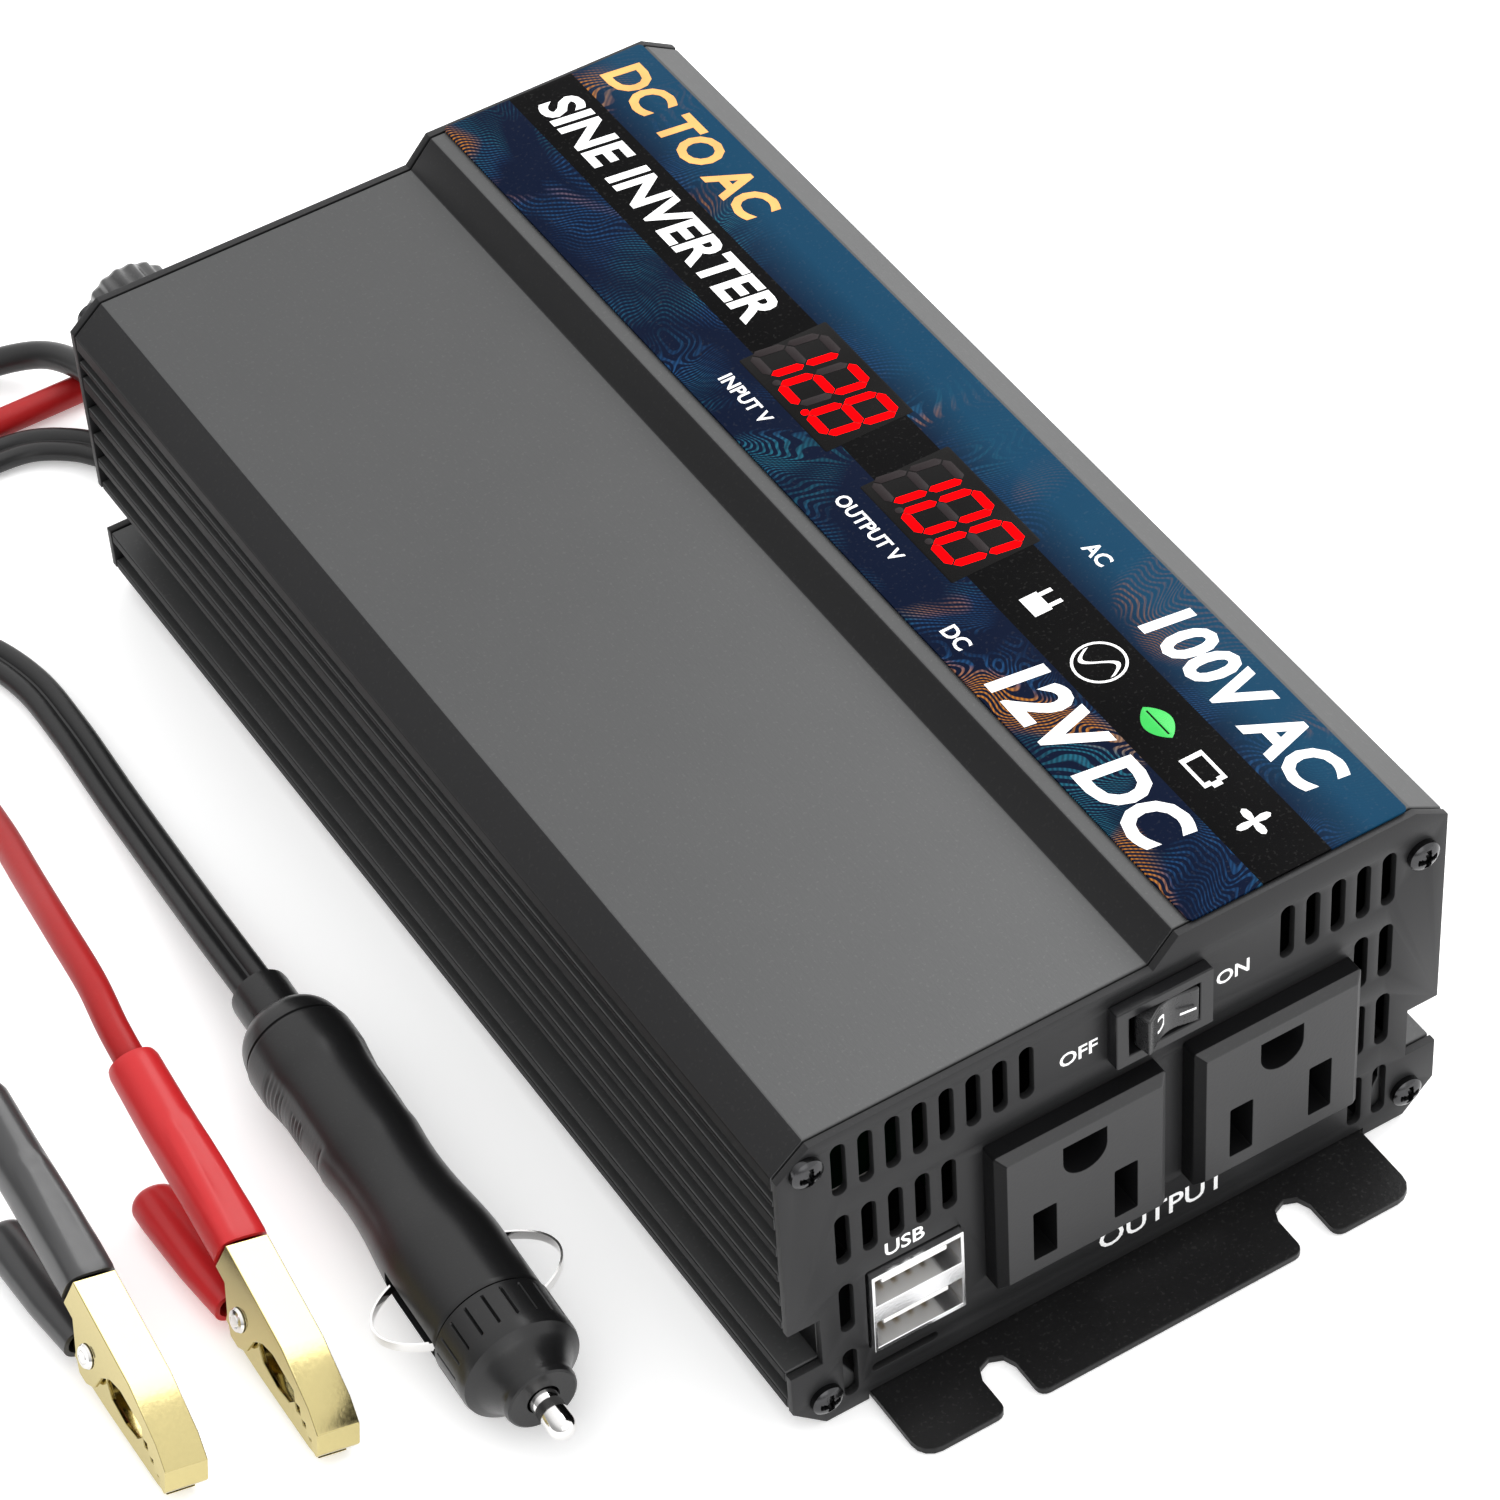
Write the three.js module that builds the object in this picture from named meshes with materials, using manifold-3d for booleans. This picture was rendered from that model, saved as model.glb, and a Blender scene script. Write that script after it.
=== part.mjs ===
// A small DC-to-AC power inverter: an extruded aluminium case in two halves, flat end
// panels, two grounded outlets, a twin USB port, a rocker switch, a cooling fan, two
// binding posts, and the battery leads that bolt to them.
//
// Millimetres. Origin on the floor under the middle of the case, +X to the right when
// facing the outlets, +Y to the rear, +Z up.

import * as THREE from 'three';
import { mergeVertices } from 'three/addons/utils/BufferGeometryUtils.js';
import Module from 'manifold-3d';

const wasm = await Module();
wasm.setup();

// ---------------------------------------------------------------- driving dimensions
const GAP = 0.3;

const CASE = {
  halfWidth: 51.5,
  halfLength: 97,
  panel: 1.2,
  lowTop: 55.8,
  highTop: 60,
  leftEdge: 51.7,
  rightEdge: 56.9,
  leftChamfer: 4.9,
  rightChamfer: 5.2,
  riserFoot: 5.1,
  riserHead: 9,
  grooveTop: 21.4,
  grooveFoot: 12.3,
  grooveDepth: 4.9,
  bottomChamfer: 4.9,
  wall: 1.8,
  finDepth: 3,
};

// Fin grooves of each side wall, as [bottom, top] heights.
const UPPER_GROOVES = [[47, 49], [43.8, 46], [37.8, 41.3], [32.6, 36], [27.7, 30.9], [22.9, 26]];
const LOWER_GROOVES = [[6.7, 10.3]];

const SCREW = { top: [47.4, 52], bottom: [46.6, 5.4], hole: 1.75, shank: 0.9, head: 2.35, rise: 1.7 };

const FOOT = { halfWidth: 39.6, reach: 12.5, thick: 1.2, tail: 22, corner: 3, slotX: 23.8, slotHalf: 2.6 };

const LABEL = { x0: 11.4, x1: 45.7, thick: 0.4, lift: 0.1 };
const DISPLAY = { x0: 20.5, width: 14, length: 22.6, height: 7, input: 15.4, output: -16.2 };

const OUTLET = {
  centres: [-8, 23.05],
  z: 25.65,
  half: 13.3,
  straight: 2.7,
  bevel: 1.05,
  barrel: 12,
  depth: 14,
  slotX: 6.35,
  slotHalf: 1.8,
  slotZ: [-9.6, -0.1],
  ground: { half: 3.4, z0: 3.5, z1: 9.9 },
};

const USB = { x: -32.25, z: 18.2, width: 14.1, height: 15.2, wall: 0.5, proud: 1.2, depth: 14, port: 5.2 };

const SWITCH = { x: 5.6, z: 48.1, width: 15, height: 10.4, flange: 2, cut: [13, 8.4], depth: 13 };
const ROCKER = { angle: 10, pivotY: -95.6, half: 4.5, rise: 4.5, dip: 1.3, height: 6.4 };

const VENT = { width: 2.2, left: -42.5, right: 42.25, pitch: 4.03 };

const FAN = { x: -4.5, z: 29, size: 40, thick: 10, bore: 19, hub: 9, blades: 7, screw: 16 };

const POST = {
  black: -36,
  red: 26,
  z: 38.6,
  base: 4.2,
  baseRadius: 7.4,
  stud: 3,
  washer: 1.2,
  knob: 7.6,
  grip: 7.5,
};
const RING = { outer: 5.4, hole: 3.3, thick: 0.9, tang: 12, bend: 35, barrel: 9 };

const LEAD = { radius: 2.25, tail: 1.5, twinWidth: 6.2, twinHeight: 3.1 };

// Where each lead lies, from its terminal behind the case to its clamp or plug.
const RED_ROUTE = [
  [26, 109.4, 19], [26.2, 113, 14], [26.4, 119.5, 7.4], [25.6, 127, 3.4], [21.6, 134, 2.4],
  [14, 138, 2.3], [4, 138.6, 2.3], [-8, 138.4, 2.3], [-22, 138, 2.3], [-36, 138, 2.3],
  [-50, 138, 2.3], [-64, 138.4, 2.3], [-78, 138.6, 2.3], [-91, 136, 2.3], [-100, 129, 2.3],
  [-103, 118.6, 2.3], [-100.6, 107, 2.3], [-95.6, 95, 2.3], [-91.8, 82, 2.6], [-90.8, 68, 4.4],
  [-91.9, 53, 8.4], [-94.1, 37.3, 13.2], [-96.1, 22.6, 17.6], [-97.7, 8.5, 20.2], [-98.91, 0.12, 20.15],
  [-99.2, -5.35, 18.88],
];
const BLACK_ROUTE = [
  [-36, 109.4, 19], [-36, 113.6, 14.6], [-35.9, 120.4, 11], [-35.9, 129, 9], [-36.4, 137.6, 7.4],
  [-39.4, 145, 5.6], [-46, 149.8, 3.7], [-54.6, 151.6, 2.4], [-66, 152, 2.3], [-80, 152, 2.3],
  [-96, 150.6, 2.3], [-110, 145, 2.3], [-120.4, 134.4, 2.3], [-126, 120, 2.3], [-128, 103, 2.3],
  [-127.2, 86, 2.5], [-125.2, 71, 3.8], [-122.6, 57, 7.6], [-120.2, 43, 12.8], [-118.9, 29, 17.8],
  [-118.6, 15.5, 20.4], [-118.94, 6.16, 20.15], [-119.18, 0.68, 18.88],
];
const TWIN_ROUTE = [
  [-28.7, 118, 1.8], [-33.6, 118.2, 1.8], [-38.6, 121.6, 1.8], [-43, 127, 1.8], [-49, 131, 1.8],
  [-57, 132, 1.8], [-68, 131.6, 1.8], [-78.4, 127.6, 1.8], [-84.6, 119.4, 1.8], [-84.4, 109.6, 1.8],
  [-80, 101.6, 1.8], [-75.4, 94, 1.8], [-72.6, 84, 1.8], [-72.2, 72, 1.9], [-73, 54, 2.6],
  [-74, 36, 4.6], [-75.2, 19, 7.6], [-75.7, 4.6, 8.9],
];
const BLACK_TAIL = [
  [-19, 110.6, 28.8], [-15.2, 113.4, 26.4], [-10.8, 115.6, 21.6], [-8, 116.6, 15], [-8.4, 116.8, 8.4],
  [-11.2, 116.6, 3.4], [-15.7, 116.4, 1.8],
];
const RED_TAIL = [
  [12.1, 110.6, 24.7], [9.6, 113.2, 21.6], [6.8, 116.4, 15.6], [4.2, 119.4, 9], [0.6, 121.6, 4.2],
  [-4.6, 121.4, 2], [-10.4, 120.4, 1.8], [-15.7, 119.6, 1.8],
];
const SPLIT = { x0: -28.3, x1: -16.6, y: 118, z: 2.1, halfWidth: 4, halfHeight: 2 };

const PLUG = { x: -75.7, y: 4.2, z: 8.95, yaw: -1.9, radius: 8.5, core: 5, tip: 2.05 };
const CLAMP = {
  length: 63.4,
  width: 6.5,
  sheet: 0.7,
  rivet: [40.6, -2.2],
  sleeve: 32.4,
  handleRoot: [37.6, -6.2],
  handleAngle: 16,
};
const CLAMPS = {
  red: { x: -99.22, y: -5.69, z: 18.8, yaw: -3.06, pitch: 14, roll: 72 },
  black: { x: -119.19, y: 0.34, z: 18.8, yaw: -2.42, pitch: 14, roll: 72 },
};

const COLOURS = {
  case: [0x5d5f61, 0.5, 0.85],
  black: [0x17181a, 0.45, 0.1],
  plastic: [0x2c2d2f, 0.55, 0],
  red: [0xc8242a, 0.4, 0],
  gold: [0xd9bd6a, 0.22, 1],
  steel: [0xb9bbbd, 0.3, 1],
  brass: [0xc9a558, 0.35, 1],
  white: [0xe6e4de, 0.5, 0],
  board: [0x1f5b36, 0.6, 0],
  copper: [0xb0622c, 0.4, 0.9],
  ferrite: [0x3a3a3c, 0.8, 0],
  label: [0x12304f, 0.4, 0],
  glass: [0x1c0a0a, 0.2, 0],
  rubber: [0x1b1b1c, 0.7, 0],
};

// ---------------------------------------------------------------- geometry helpers
const inverter = new THREE.Group();

/** Merges equal corners, drops empty triangles and turns the faces outward. */
function closed(geometry) {
  const plain = geometry.clone();
  for (const name of ['normal', 'uv']) {
    plain.deleteAttribute(name);
  }
  const welded = mergeVertices(plain, 1e-4);
  const place = welded.attributes.position;
  const corner = (index) => new THREE.Vector3().fromBufferAttribute(place, index);
  const kept = [];
  let volume = 0;
  for (let i = 0; i < welded.index.count; i += 3) {
    const [a, b, c] = [0, 1, 2].map((step) => welded.index.getX(i + step));
    if (a !== b && b !== c && c !== a) {
      kept.push(a, b, c);
      volume += corner(a).dot(corner(b).cross(corner(c)));
    }
  }
  if (volume < 0) {
    kept.reverse();
  }
  const result = new THREE.BufferGeometry();
  result.setAttribute('position', place.clone());
  result.setIndex(kept);
  return result;
}

function toSolid(geometry) {
  const body = closed(geometry);
  return new wasm.Manifold(new wasm.Mesh({
    numProp: 3,
    vertProperties: Float32Array.from(body.attributes.position.array),
    triVerts: Uint32Array.from(body.index.array),
  }));
}

function toGeometry(solid) {
  const mesh = solid.getMesh();
  const result = new THREE.BufferGeometry();
  result.setAttribute('position', new THREE.BufferAttribute(new Float32Array(mesh.vertProperties), 3));
  result.setIndex(new THREE.BufferAttribute(new Uint32Array(mesh.triVerts), 1));
  return result;
}

function cut(geometry, ...tools) {
  let solid = toSolid(geometry);
  for (const tool of tools) {
    solid = solid.subtract(toSolid(tool));
  }
  return toGeometry(solid);
}

function join(...pieces) {
  let solid = toSolid(pieces[0]);
  for (const piece of pieces.slice(1)) {
    solid = solid.add(toSolid(piece));
  }
  return toGeometry(solid);
}

function box(x0, x1, y0, y1, z0, z1) {
  const geometry = new THREE.BoxGeometry(x1 - x0, y1 - y0, z1 - z0);
  return geometry.translate((x0 + x1) / 2, (y0 + y1) / 2, (z0 + z1) / 2);
}

function outline(points) {
  return new THREE.Shape(points.map(([a, b]) => new THREE.Vector2(a, b)));
}

/** Extrudes an outline of (x, y) points upward. */
function alongZ(shape, z0, z1, curveSegments = 6) {
  const geometry = new THREE.ExtrudeGeometry(shape, { depth: z1 - z0, bevelEnabled: false, curveSegments });
  return geometry.translate(0, 0, z0);
}

/** Extrudes an outline of (x, z) points along Y. */
function alongY(shape, y0, y1, curveSegments = 6) {
  return alongZ(shape, 0, y1 - y0, curveSegments).rotateX(Math.PI / 2).translate(0, y1, 0);
}

/** Extrudes an outline of (y, z) points along X. */
function alongX(shape, x0, x1, curveSegments = 6) {
  const turn = new THREE.Matrix4().set(0, 0, 1, 0, 1, 0, 0, 0, 0, 1, 0, 0, 0, 0, 0, 1);
  return alongZ(shape, x0, x1, curveSegments).applyMatrix4(turn);
}

/** Revolves [radius, y] points about the Y axis. */
function turned(profile, segments = 24) {
  return new THREE.LatheGeometry(outlinePoints(profile), segments);
}

function outlinePoints(profile) {
  return profile.map(([radius, y]) => new THREE.Vector2(radius, y));
}

function cylinderY(radius, y0, y1, segments = 20) {
  return turned([[0, y0], [radius, y0], [radius, y1], [0, y1]], segments);
}

function cylinderZ(radius, z0, z1, segments = 16) {
  return cylinderY(radius, z0, z1, segments).rotateX(Math.PI / 2);
}

function roundHole(x, y, radius) {
  return new THREE.Path().absarc(x, y, radius, 0, Math.PI * 2, true);
}

/** An upright slot with round ends, as a hole. */
function slotHole(x, low, high, width) {
  const radius = width / 2;
  const hole = new THREE.Path();
  hole.absarc(x, high - radius, radius, 0, Math.PI, false);
  hole.absarc(x, low + radius, radius, Math.PI, Math.PI * 2, false);
  hole.closePath();
  return hole;
}

function roundedRectangle(x0, x1, y0, y1, radius) {
  const shape = new THREE.Shape();
  shape.absarc(x1 - radius, y1 - radius, radius, 0, Math.PI / 2, false);
  shape.absarc(x0 + radius, y1 - radius, radius, Math.PI / 2, Math.PI, false);
  shape.absarc(x0 + radius, y0 + radius, radius, Math.PI, Math.PI * 1.5, false);
  shape.absarc(x1 - radius, y0 + radius, radius, Math.PI * 1.5, Math.PI * 2, false);
  return shape;
}

/** Joins rings of points with equal counts into one closed body. */
function loft(rings) {
  const count = rings[0].length;
  const positions = rings.flat(2);
  const index = [];
  for (let ring = 0; ring + 1 < rings.length; ring += 1) {
    for (let i = 0; i < count; i += 1) {
      const a = ring * count + i;
      const b = ring * count + ((i + 1) % count);
      index.push(a, b, b + count, a, b + count, a + count);
    }
  }
  const last = (rings.length - 1) * count;
  for (let i = 1; i + 1 < count; i += 1) {
    index.push(0, i + 1, i, last, last + i, last + i + 1);
  }
  const geometry = new THREE.BufferGeometry();
  geometry.setAttribute('position', new THREE.Float32BufferAttribute(positions, 3));
  geometry.setIndex(index);
  return geometry;
}

/** A cord of the given section along hand-chosen points. */
function cord(route, halfWidth, halfHeight, sides, stepLength) {
  const curve = new THREE.CatmullRomCurve3(route.map((point) => new THREE.Vector3(...point)));
  const section = [];
  for (let i = 0; i < sides; i += 1) {
    const angle = ((i + 0.5) / sides) * Math.PI * 2;
    section.push([Math.sin(angle) * halfHeight, Math.cos(angle) * halfWidth]);
  }
  const steps = Math.round(curve.getLength() / stepLength);
  return new THREE.ExtrudeGeometry(outline(section), { steps, extrudePath: curve, bevelEnabled: false });
}

function finish(look) {
  const [color, roughness, metalness] = COLOURS[look];
  return new THREE.MeshStandardMaterial({ color, roughness, metalness });
}

/** Adds one named piece to a group. */
function add(name, geometry, look, group = inverter) {
  const mesh = new THREE.Mesh(closed(geometry), finish(look));
  mesh.name = name;
  group.add(mesh);
  return mesh;
}

const mirrorX = (points) => points.map(([x, z]) => [-x, z]).reverse();

// ---------------------------------------------------------------- case
/** The right wall's outer face from low to high, as [x, z], with its fin grooves cut in. */
function finnedWall(low, high, grooves) {
  const face = CASE.halfWidth;
  const floor = face - CASE.finDepth;
  const points = [[face, low]];
  for (const [bottom, top] of [...grooves].reverse()) {
    points.push([face, bottom], [floor, bottom], [floor, top], [face, top]);
  }
  points.push([face, high]);
  return points;
}

function upperShell() {
  const neck = CASE.halfWidth - CASE.grooveDepth;
  const inner = neck - CASE.wall;
  const roof = CASE.highTop - CASE.wall;
  const foot = CASE.grooveFoot + GAP;
  const right = [[inner, foot], [neck, foot], [neck, CASE.grooveTop]];
  const outer = [
    ...right,
    ...finnedWall(CASE.grooveTop, CASE.rightEdge, UPPER_GROOVES),
    [CASE.halfWidth - CASE.rightChamfer, CASE.highTop],
    [CASE.riserHead, CASE.highTop],
    [CASE.riserFoot, CASE.lowTop],
    [-CASE.halfWidth + CASE.leftChamfer, CASE.lowTop],
    ...mirrorX(finnedWall(CASE.grooveTop, CASE.leftEdge, UPPER_GROOVES)),
    ...mirrorX(right),
  ];
  const inside = [
    [-inner, 49],
    [-inner + 1.5, CASE.lowTop - CASE.wall],
    [CASE.riserFoot + 0.5, CASE.lowTop - CASE.wall],
    [CASE.riserHead + 0.5, roof],
    [inner - 1.5, roof],
    [inner, 49],
  ];
  const section = outline([...outer, ...inside]);
  section.holes = [-1, 1].map((side) => roundHole(side * SCREW.top[0], SCREW.top[1], SCREW.hole));
  const run = CASE.halfLength - CASE.panel - GAP;
  const windows = [DISPLAY.input, DISPLAY.output].map((y) => box(
    DISPLAY.x0 - GAP,
    DISPLAY.x0 + DISPLAY.width + GAP,
    y - DISPLAY.length / 2 - GAP,
    y + DISPLAY.length / 2 + GAP,
    roof - 1,
    CASE.highTop + 1,
  ));
  return cut(alongY(section, -run, run, 2), ...windows);
}

function lowerShell() {
  const neck = CASE.halfWidth - CASE.grooveDepth;
  const inner = neck - CASE.wall;
  const floor = 2.6;
  const wall = [
    [CASE.halfWidth - CASE.bottomChamfer, 0],
    ...finnedWall(CASE.bottomChamfer, CASE.grooveFoot, LOWER_GROOVES),
    [inner - GAP, CASE.grooveFoot],
    [inner - GAP, CASE.grooveFoot + 4],
    [inner - GAP - 1.4, CASE.grooveFoot + 4],
    [inner - GAP - 1.4, 8.6],
    [inner - 5, floor],
  ];
  const section = outline([...wall, ...mirrorX(wall)]);
  section.holes = [-1, 1].map((side) => roundHole(side * SCREW.bottom[0], SCREW.bottom[1], SCREW.hole));
  const run = CASE.halfLength - CASE.panel - GAP;
  const cuts = [];
  for (const end of [-1, 1]) {
    const [y0, y1] = [end * (run - FOOT.tail + GAP), end * (run + 1)].sort((a, b) => a - b);
    cuts.push(box(-FOOT.halfWidth - GAP, FOOT.halfWidth + GAP, y0, y1, -1, FOOT.thick + GAP));
    for (const x of [-28, 28]) {
      cuts.push(cylinderZ(1.8, -1, 4).translate(x, end * (run - 14), 0));
    }
  }
  return cut(alongY(section, -run, run, 2), ...cuts);
}

function panelOutline() {
  const neck = CASE.halfWidth - CASE.grooveDepth;
  const right = [
    [CASE.halfWidth - CASE.bottomChamfer, 0],
    [CASE.halfWidth, CASE.bottomChamfer],
    [CASE.halfWidth, CASE.grooveFoot],
    [neck, CASE.grooveFoot],
    [neck, CASE.grooveTop],
    [CASE.halfWidth, CASE.grooveTop],
  ];
  const notch = FOOT.thick + GAP;
  return outline([
    [FOOT.halfWidth + GAP, 0],
    ...right,
    [CASE.halfWidth, CASE.rightEdge],
    [CASE.halfWidth - CASE.rightChamfer, CASE.highTop],
    [CASE.riserHead, CASE.highTop],
    [CASE.riserFoot, CASE.lowTop],
    [-CASE.halfWidth + CASE.leftChamfer, CASE.lowTop],
    [-CASE.halfWidth, CASE.leftEdge],
    ...mirrorX(right),
    [-FOOT.halfWidth - GAP, 0],
    [-FOOT.halfWidth - GAP, notch],
    [FOOT.halfWidth + GAP, notch],
  ]);
}

function screwHoles() {
  return [-1, 1].flatMap((side) => [SCREW.top, SCREW.bottom].map(
    ([x, z]) => roundHole(side * x, z, SCREW.hole),
  ));
}

/** A cutter for a square opening in the front panel, with running clearance. */
function panelOpening(x, z, width, height) {
  const [a, b] = [width / 2 + GAP, height / 2 + GAP];
  return box(x - a, x + a, -CASE.halfLength - 1, -CASE.halfLength + CASE.panel + 1, z - b, z + b);
}

/** Columns of upright slots, counted from the outer edge inward, for each row. */
function ventHoles(edge, inward, rows) {
  const holes = [];
  for (const { low, high, count } of rows) {
    for (let column = 0; column < count; column += 1) {
      holes.push(slotHole(edge + inward * column * VENT.pitch, low, high, VENT.width));
    }
  }
  return holes;
}

const LEFT_ROWS = [
  { low: 43.9, high: 53.6, count: 8 },
  { low: 30.2, high: 39.7, count: 5 },
  { low: 16.3, high: 25.8, count: 1 },
  { low: 2.9, high: 12.3, count: 1 },
];
const RIGHT_ROWS = [
  { low: 45.2, high: 54.9, count: 5 },
  { low: 31.3, high: 41.2, count: 2 },
  { low: 17.6, high: 27.5, count: 2 },
  { low: 3.4, high: 13, count: 2 },
];

function frontPanel() {
  const section = panelOutline();
  section.holes = [
    ...screwHoles(),
    ...ventHoles(VENT.left, 1, LEFT_ROWS),
    ...ventHoles(VENT.right, -1, RIGHT_ROWS),
  ];
  return cut(
    alongY(section, -CASE.halfLength, -CASE.halfLength + CASE.panel, 2),
    panelOpening(-34.1, 5.95, 9.6, 0.9),
    panelOpening(USB.x, USB.z, USB.width, USB.height),
    panelOpening(SWITCH.x, SWITCH.z, ...SWITCH.cut),
    ...OUTLET.centres.map((x) => panelOpening(x, OUTLET.z, OUTLET.barrel * 2, OUTLET.barrel * 2)),
  );
}

/** Four arcs of one round grille slot, as holes. */
function grilleArcs(radius, width) {
  const bridge = 1.6 / radius;
  const arcs = [];
  for (let quarter = 0; quarter < 4; quarter += 1) {
    const start = (quarter * Math.PI) / 2 + bridge;
    const end = ((quarter + 1) * Math.PI) / 2 - bridge;
    const hole = new THREE.Path();
    hole.absarc(FAN.x, FAN.z, radius + width / 2, start, end, false);
    hole.absarc(FAN.x, FAN.z, radius - width / 2, end, start, true);
    hole.closePath();
    arcs.push(hole);
  }
  return arcs;
}

function rearPanel() {
  const section = panelOutline();
  section.holes = [
    ...screwHoles(),
    ...[6, 9.6, 13.2, 16.8].flatMap((radius) => grilleArcs(radius, 2.2)),
    ...fanScrewPlaces().map(([x, z]) => roundHole(x, z, 1.6)),
  ];
  const face = CASE.halfLength;
  const posts = [POST.black, POST.red].map(
    (x) => cylinderY(POST.stud + 0.9 + GAP, face - 3, face + 1, 16).translate(x, 0, POST.z),
  );
  return cut(alongY(section, face - CASE.panel, face, 2), ...posts);
}

/** A mounting foot's outline, with its open bolt slots at the outer edge. */
function footShape() {
  const { halfWidth: w, reach, corner: r, slotX, slotHalf: s } = FOOT;
  const shape = new THREE.Shape();
  shape.moveTo(w, 0);
  shape.lineTo(w, -reach + r);
  shape.absarc(w - r, -reach + r, r, 0, -Math.PI / 2, true);
  for (const x of [slotX, -slotX]) {
    shape.absarc(x + s + r / 2, -reach + r / 2, r / 2, -Math.PI / 2, -Math.PI, true);
    shape.absarc(x, -reach + 6, s, 0, Math.PI, false);
    shape.absarc(x - s - r / 2, -reach + r / 2, r / 2, 0, -Math.PI / 2, true);
  }
  shape.absarc(-w + r, -reach + r, r, -Math.PI / 2, -Math.PI, true);
  shape.lineTo(-w, FOOT.tail);
  shape.lineTo(w, FOOT.tail);
  return shape;
}

/** The flat foot, at the front for end -1 and turned half round for the rear. */
function foot(end) {
  const holes = [-28, 28].map((x) => cylinderZ(1.8, -1, 3, 12).translate(x, CASE.panel + GAP + 14, 0));
  const plate = cut(alongZ(footShape(), 0, FOOT.thick, 2), ...holes).translate(0, -CASE.halfLength, 0);
  return end < 0 ? plate : plate.rotateZ(Math.PI);
}

/** A pan head with a cross recess, its shank along +Y. */
function panScrew(length) {
  const dome = [[0, -SCREW.rise], [1.8, -SCREW.rise * 0.8], [SCREW.head, -0.5], [SCREW.head, 0]];
  const body = turned([...dome, [SCREW.shank, 0], [SCREW.shank, length], [0, length]], 10);
  const recess = join(box(-1.3, 1.3, -3, -0.8, -0.3, 0.3), box(-0.3, 0.3, -3, -0.8, -1.3, 1.3));
  return cut(body, recess);
}

add('upper_shell', upperShell(), 'case');
add('lower_shell', lowerShell(), 'case');
add('front_panel', frontPanel(), 'case');
add('rear_panel', rearPanel(), 'case');
add('front_foot', foot(-1), 'black');
add('rear_foot', foot(1), 'black');
for (const [side, sign] of [['left', -1], ['right', 1]]) {
  for (const [level, [x, z]] of [['top', SCREW.top], ['bottom', SCREW.bottom]]) {
    const screw = add(`front_screw_${level}_${side}`, panScrew(7), 'steel');
    screw.position.set(sign * x, -CASE.halfLength, z);
  }
}

// ---------------------------------------------------------------- label and displays
function label() {
  const low = CASE.highTop + LABEL.lift;
  const edge = CASE.halfLength - 1;
  return box(LABEL.x0, LABEL.x1, -edge, edge, low, low + LABEL.thick);
}

function displayModule(y) {
  const top = CASE.highTop - GAP;
  const half = DISPLAY.length / 2;
  return box(DISPLAY.x0, DISPLAY.x0 + DISPLAY.width, y - half, y + half, top - DISPLAY.height, top);
}

function displayBoard() {
  const top = CASE.highTop - 2 * GAP - DISPLAY.height;
  const ends = [DISPLAY.output - DISPLAY.length / 2 - 4, DISPLAY.input + DISPLAY.length / 2 + 4];
  return box(DISPLAY.x0 - 1.5, DISPLAY.x0 + DISPLAY.width + 1.5, ...ends, top - 1.6, top);
}

add('label_sheet', label(), 'label');
add('input_display', displayModule(DISPLAY.input), 'glass');
add('output_display', displayModule(DISPLAY.output), 'glass');
add('display_board', displayBoard(), 'board');

// ---------------------------------------------------------------- outlets
function squareRing(x, z, half, y) {
  return [[x - half, y, z - half], [x + half, y, z - half], [x + half, y, z + half], [x - half, y, z + half]];
}

function groundShape(x, z) {
  const { half, z0, z1 } = OUTLET.ground;
  const shape = new THREE.Shape();
  shape.moveTo(x + half, z + z1);
  shape.lineTo(x - half, z + z1);
  shape.absarc(x, z + z0 + half, half, Math.PI, Math.PI * 2, false);
  return shape;
}

function outletBody(x) {
  const face = -CASE.halfLength;
  const front = face - OUTLET.straight - OUTLET.bevel;
  const stand = loft([
    squareRing(x, OUTLET.z, OUTLET.half - 1.15, front),
    squareRing(x, OUTLET.z, OUTLET.half, face - OUTLET.straight),
    squareRing(x, OUTLET.z, OUTLET.half, face),
  ]);
  const barrel = box(
    x - OUTLET.barrel,
    x + OUTLET.barrel,
    face - 1,
    face + OUTLET.depth,
    OUTLET.z - OUTLET.barrel,
    OUTLET.z + OUTLET.barrel,
  );
  const slots = [-1, 1].map((side) => box(
    x + side * OUTLET.slotX - OUTLET.slotHalf,
    x + side * OUTLET.slotX + OUTLET.slotHalf,
    front - 1,
    face + OUTLET.depth - 2,
    OUTLET.z + OUTLET.slotZ[0],
    OUTLET.z + OUTLET.slotZ[1],
  ));
  const ground = alongY(groundShape(x, OUTLET.z), front - 1, face + OUTLET.depth - 2, 5);
  return cut(join(stand, barrel), ...slots, ground);
}

OUTLET.centres.forEach((x, index) => {
  add(`${['left', 'right'][index]}_outlet`, outletBody(x), 'plastic');
});

// ---------------------------------------------------------------- USB
function usbShell() {
  const { x, z, width, height, wall, proud, depth, port } = USB;
  const y0 = -CASE.halfLength - proud;
  const shell = box(x - width / 2, x + width / 2, y0, y0 + depth, z - height / 2, z + height / 2);
  const ports = [-1, 1].map((side) => {
    const middle = z + side * (height / 2 - wall - 0.3 - port / 2);
    const room = [x - width / 2 + wall, x + width / 2 - wall];
    return box(...room, y0 - 1, y0 + depth + 1, middle - port / 2, middle + port / 2);
  });
  return cut(shell, ...ports);
}

/** The two contact tongues on one moulded back. */
function usbTongues() {
  const { x, z, height, wall, proud, depth, port } = USB;
  const y0 = -CASE.halfLength - proud;
  const back = box(x - 5, x + 5, y0 + depth + GAP, y0 + depth + 2, z - 7, z + 7);
  const tongues = [-1, 1].map((side) => {
    const middle = z + side * (height / 2 - wall - 0.3 - port / 2);
    return box(x - 5, x + 5, y0 + 1, y0 + depth + 1, middle + 0.3, middle + 2);
  });
  return join(back, ...tongues);
}

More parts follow.
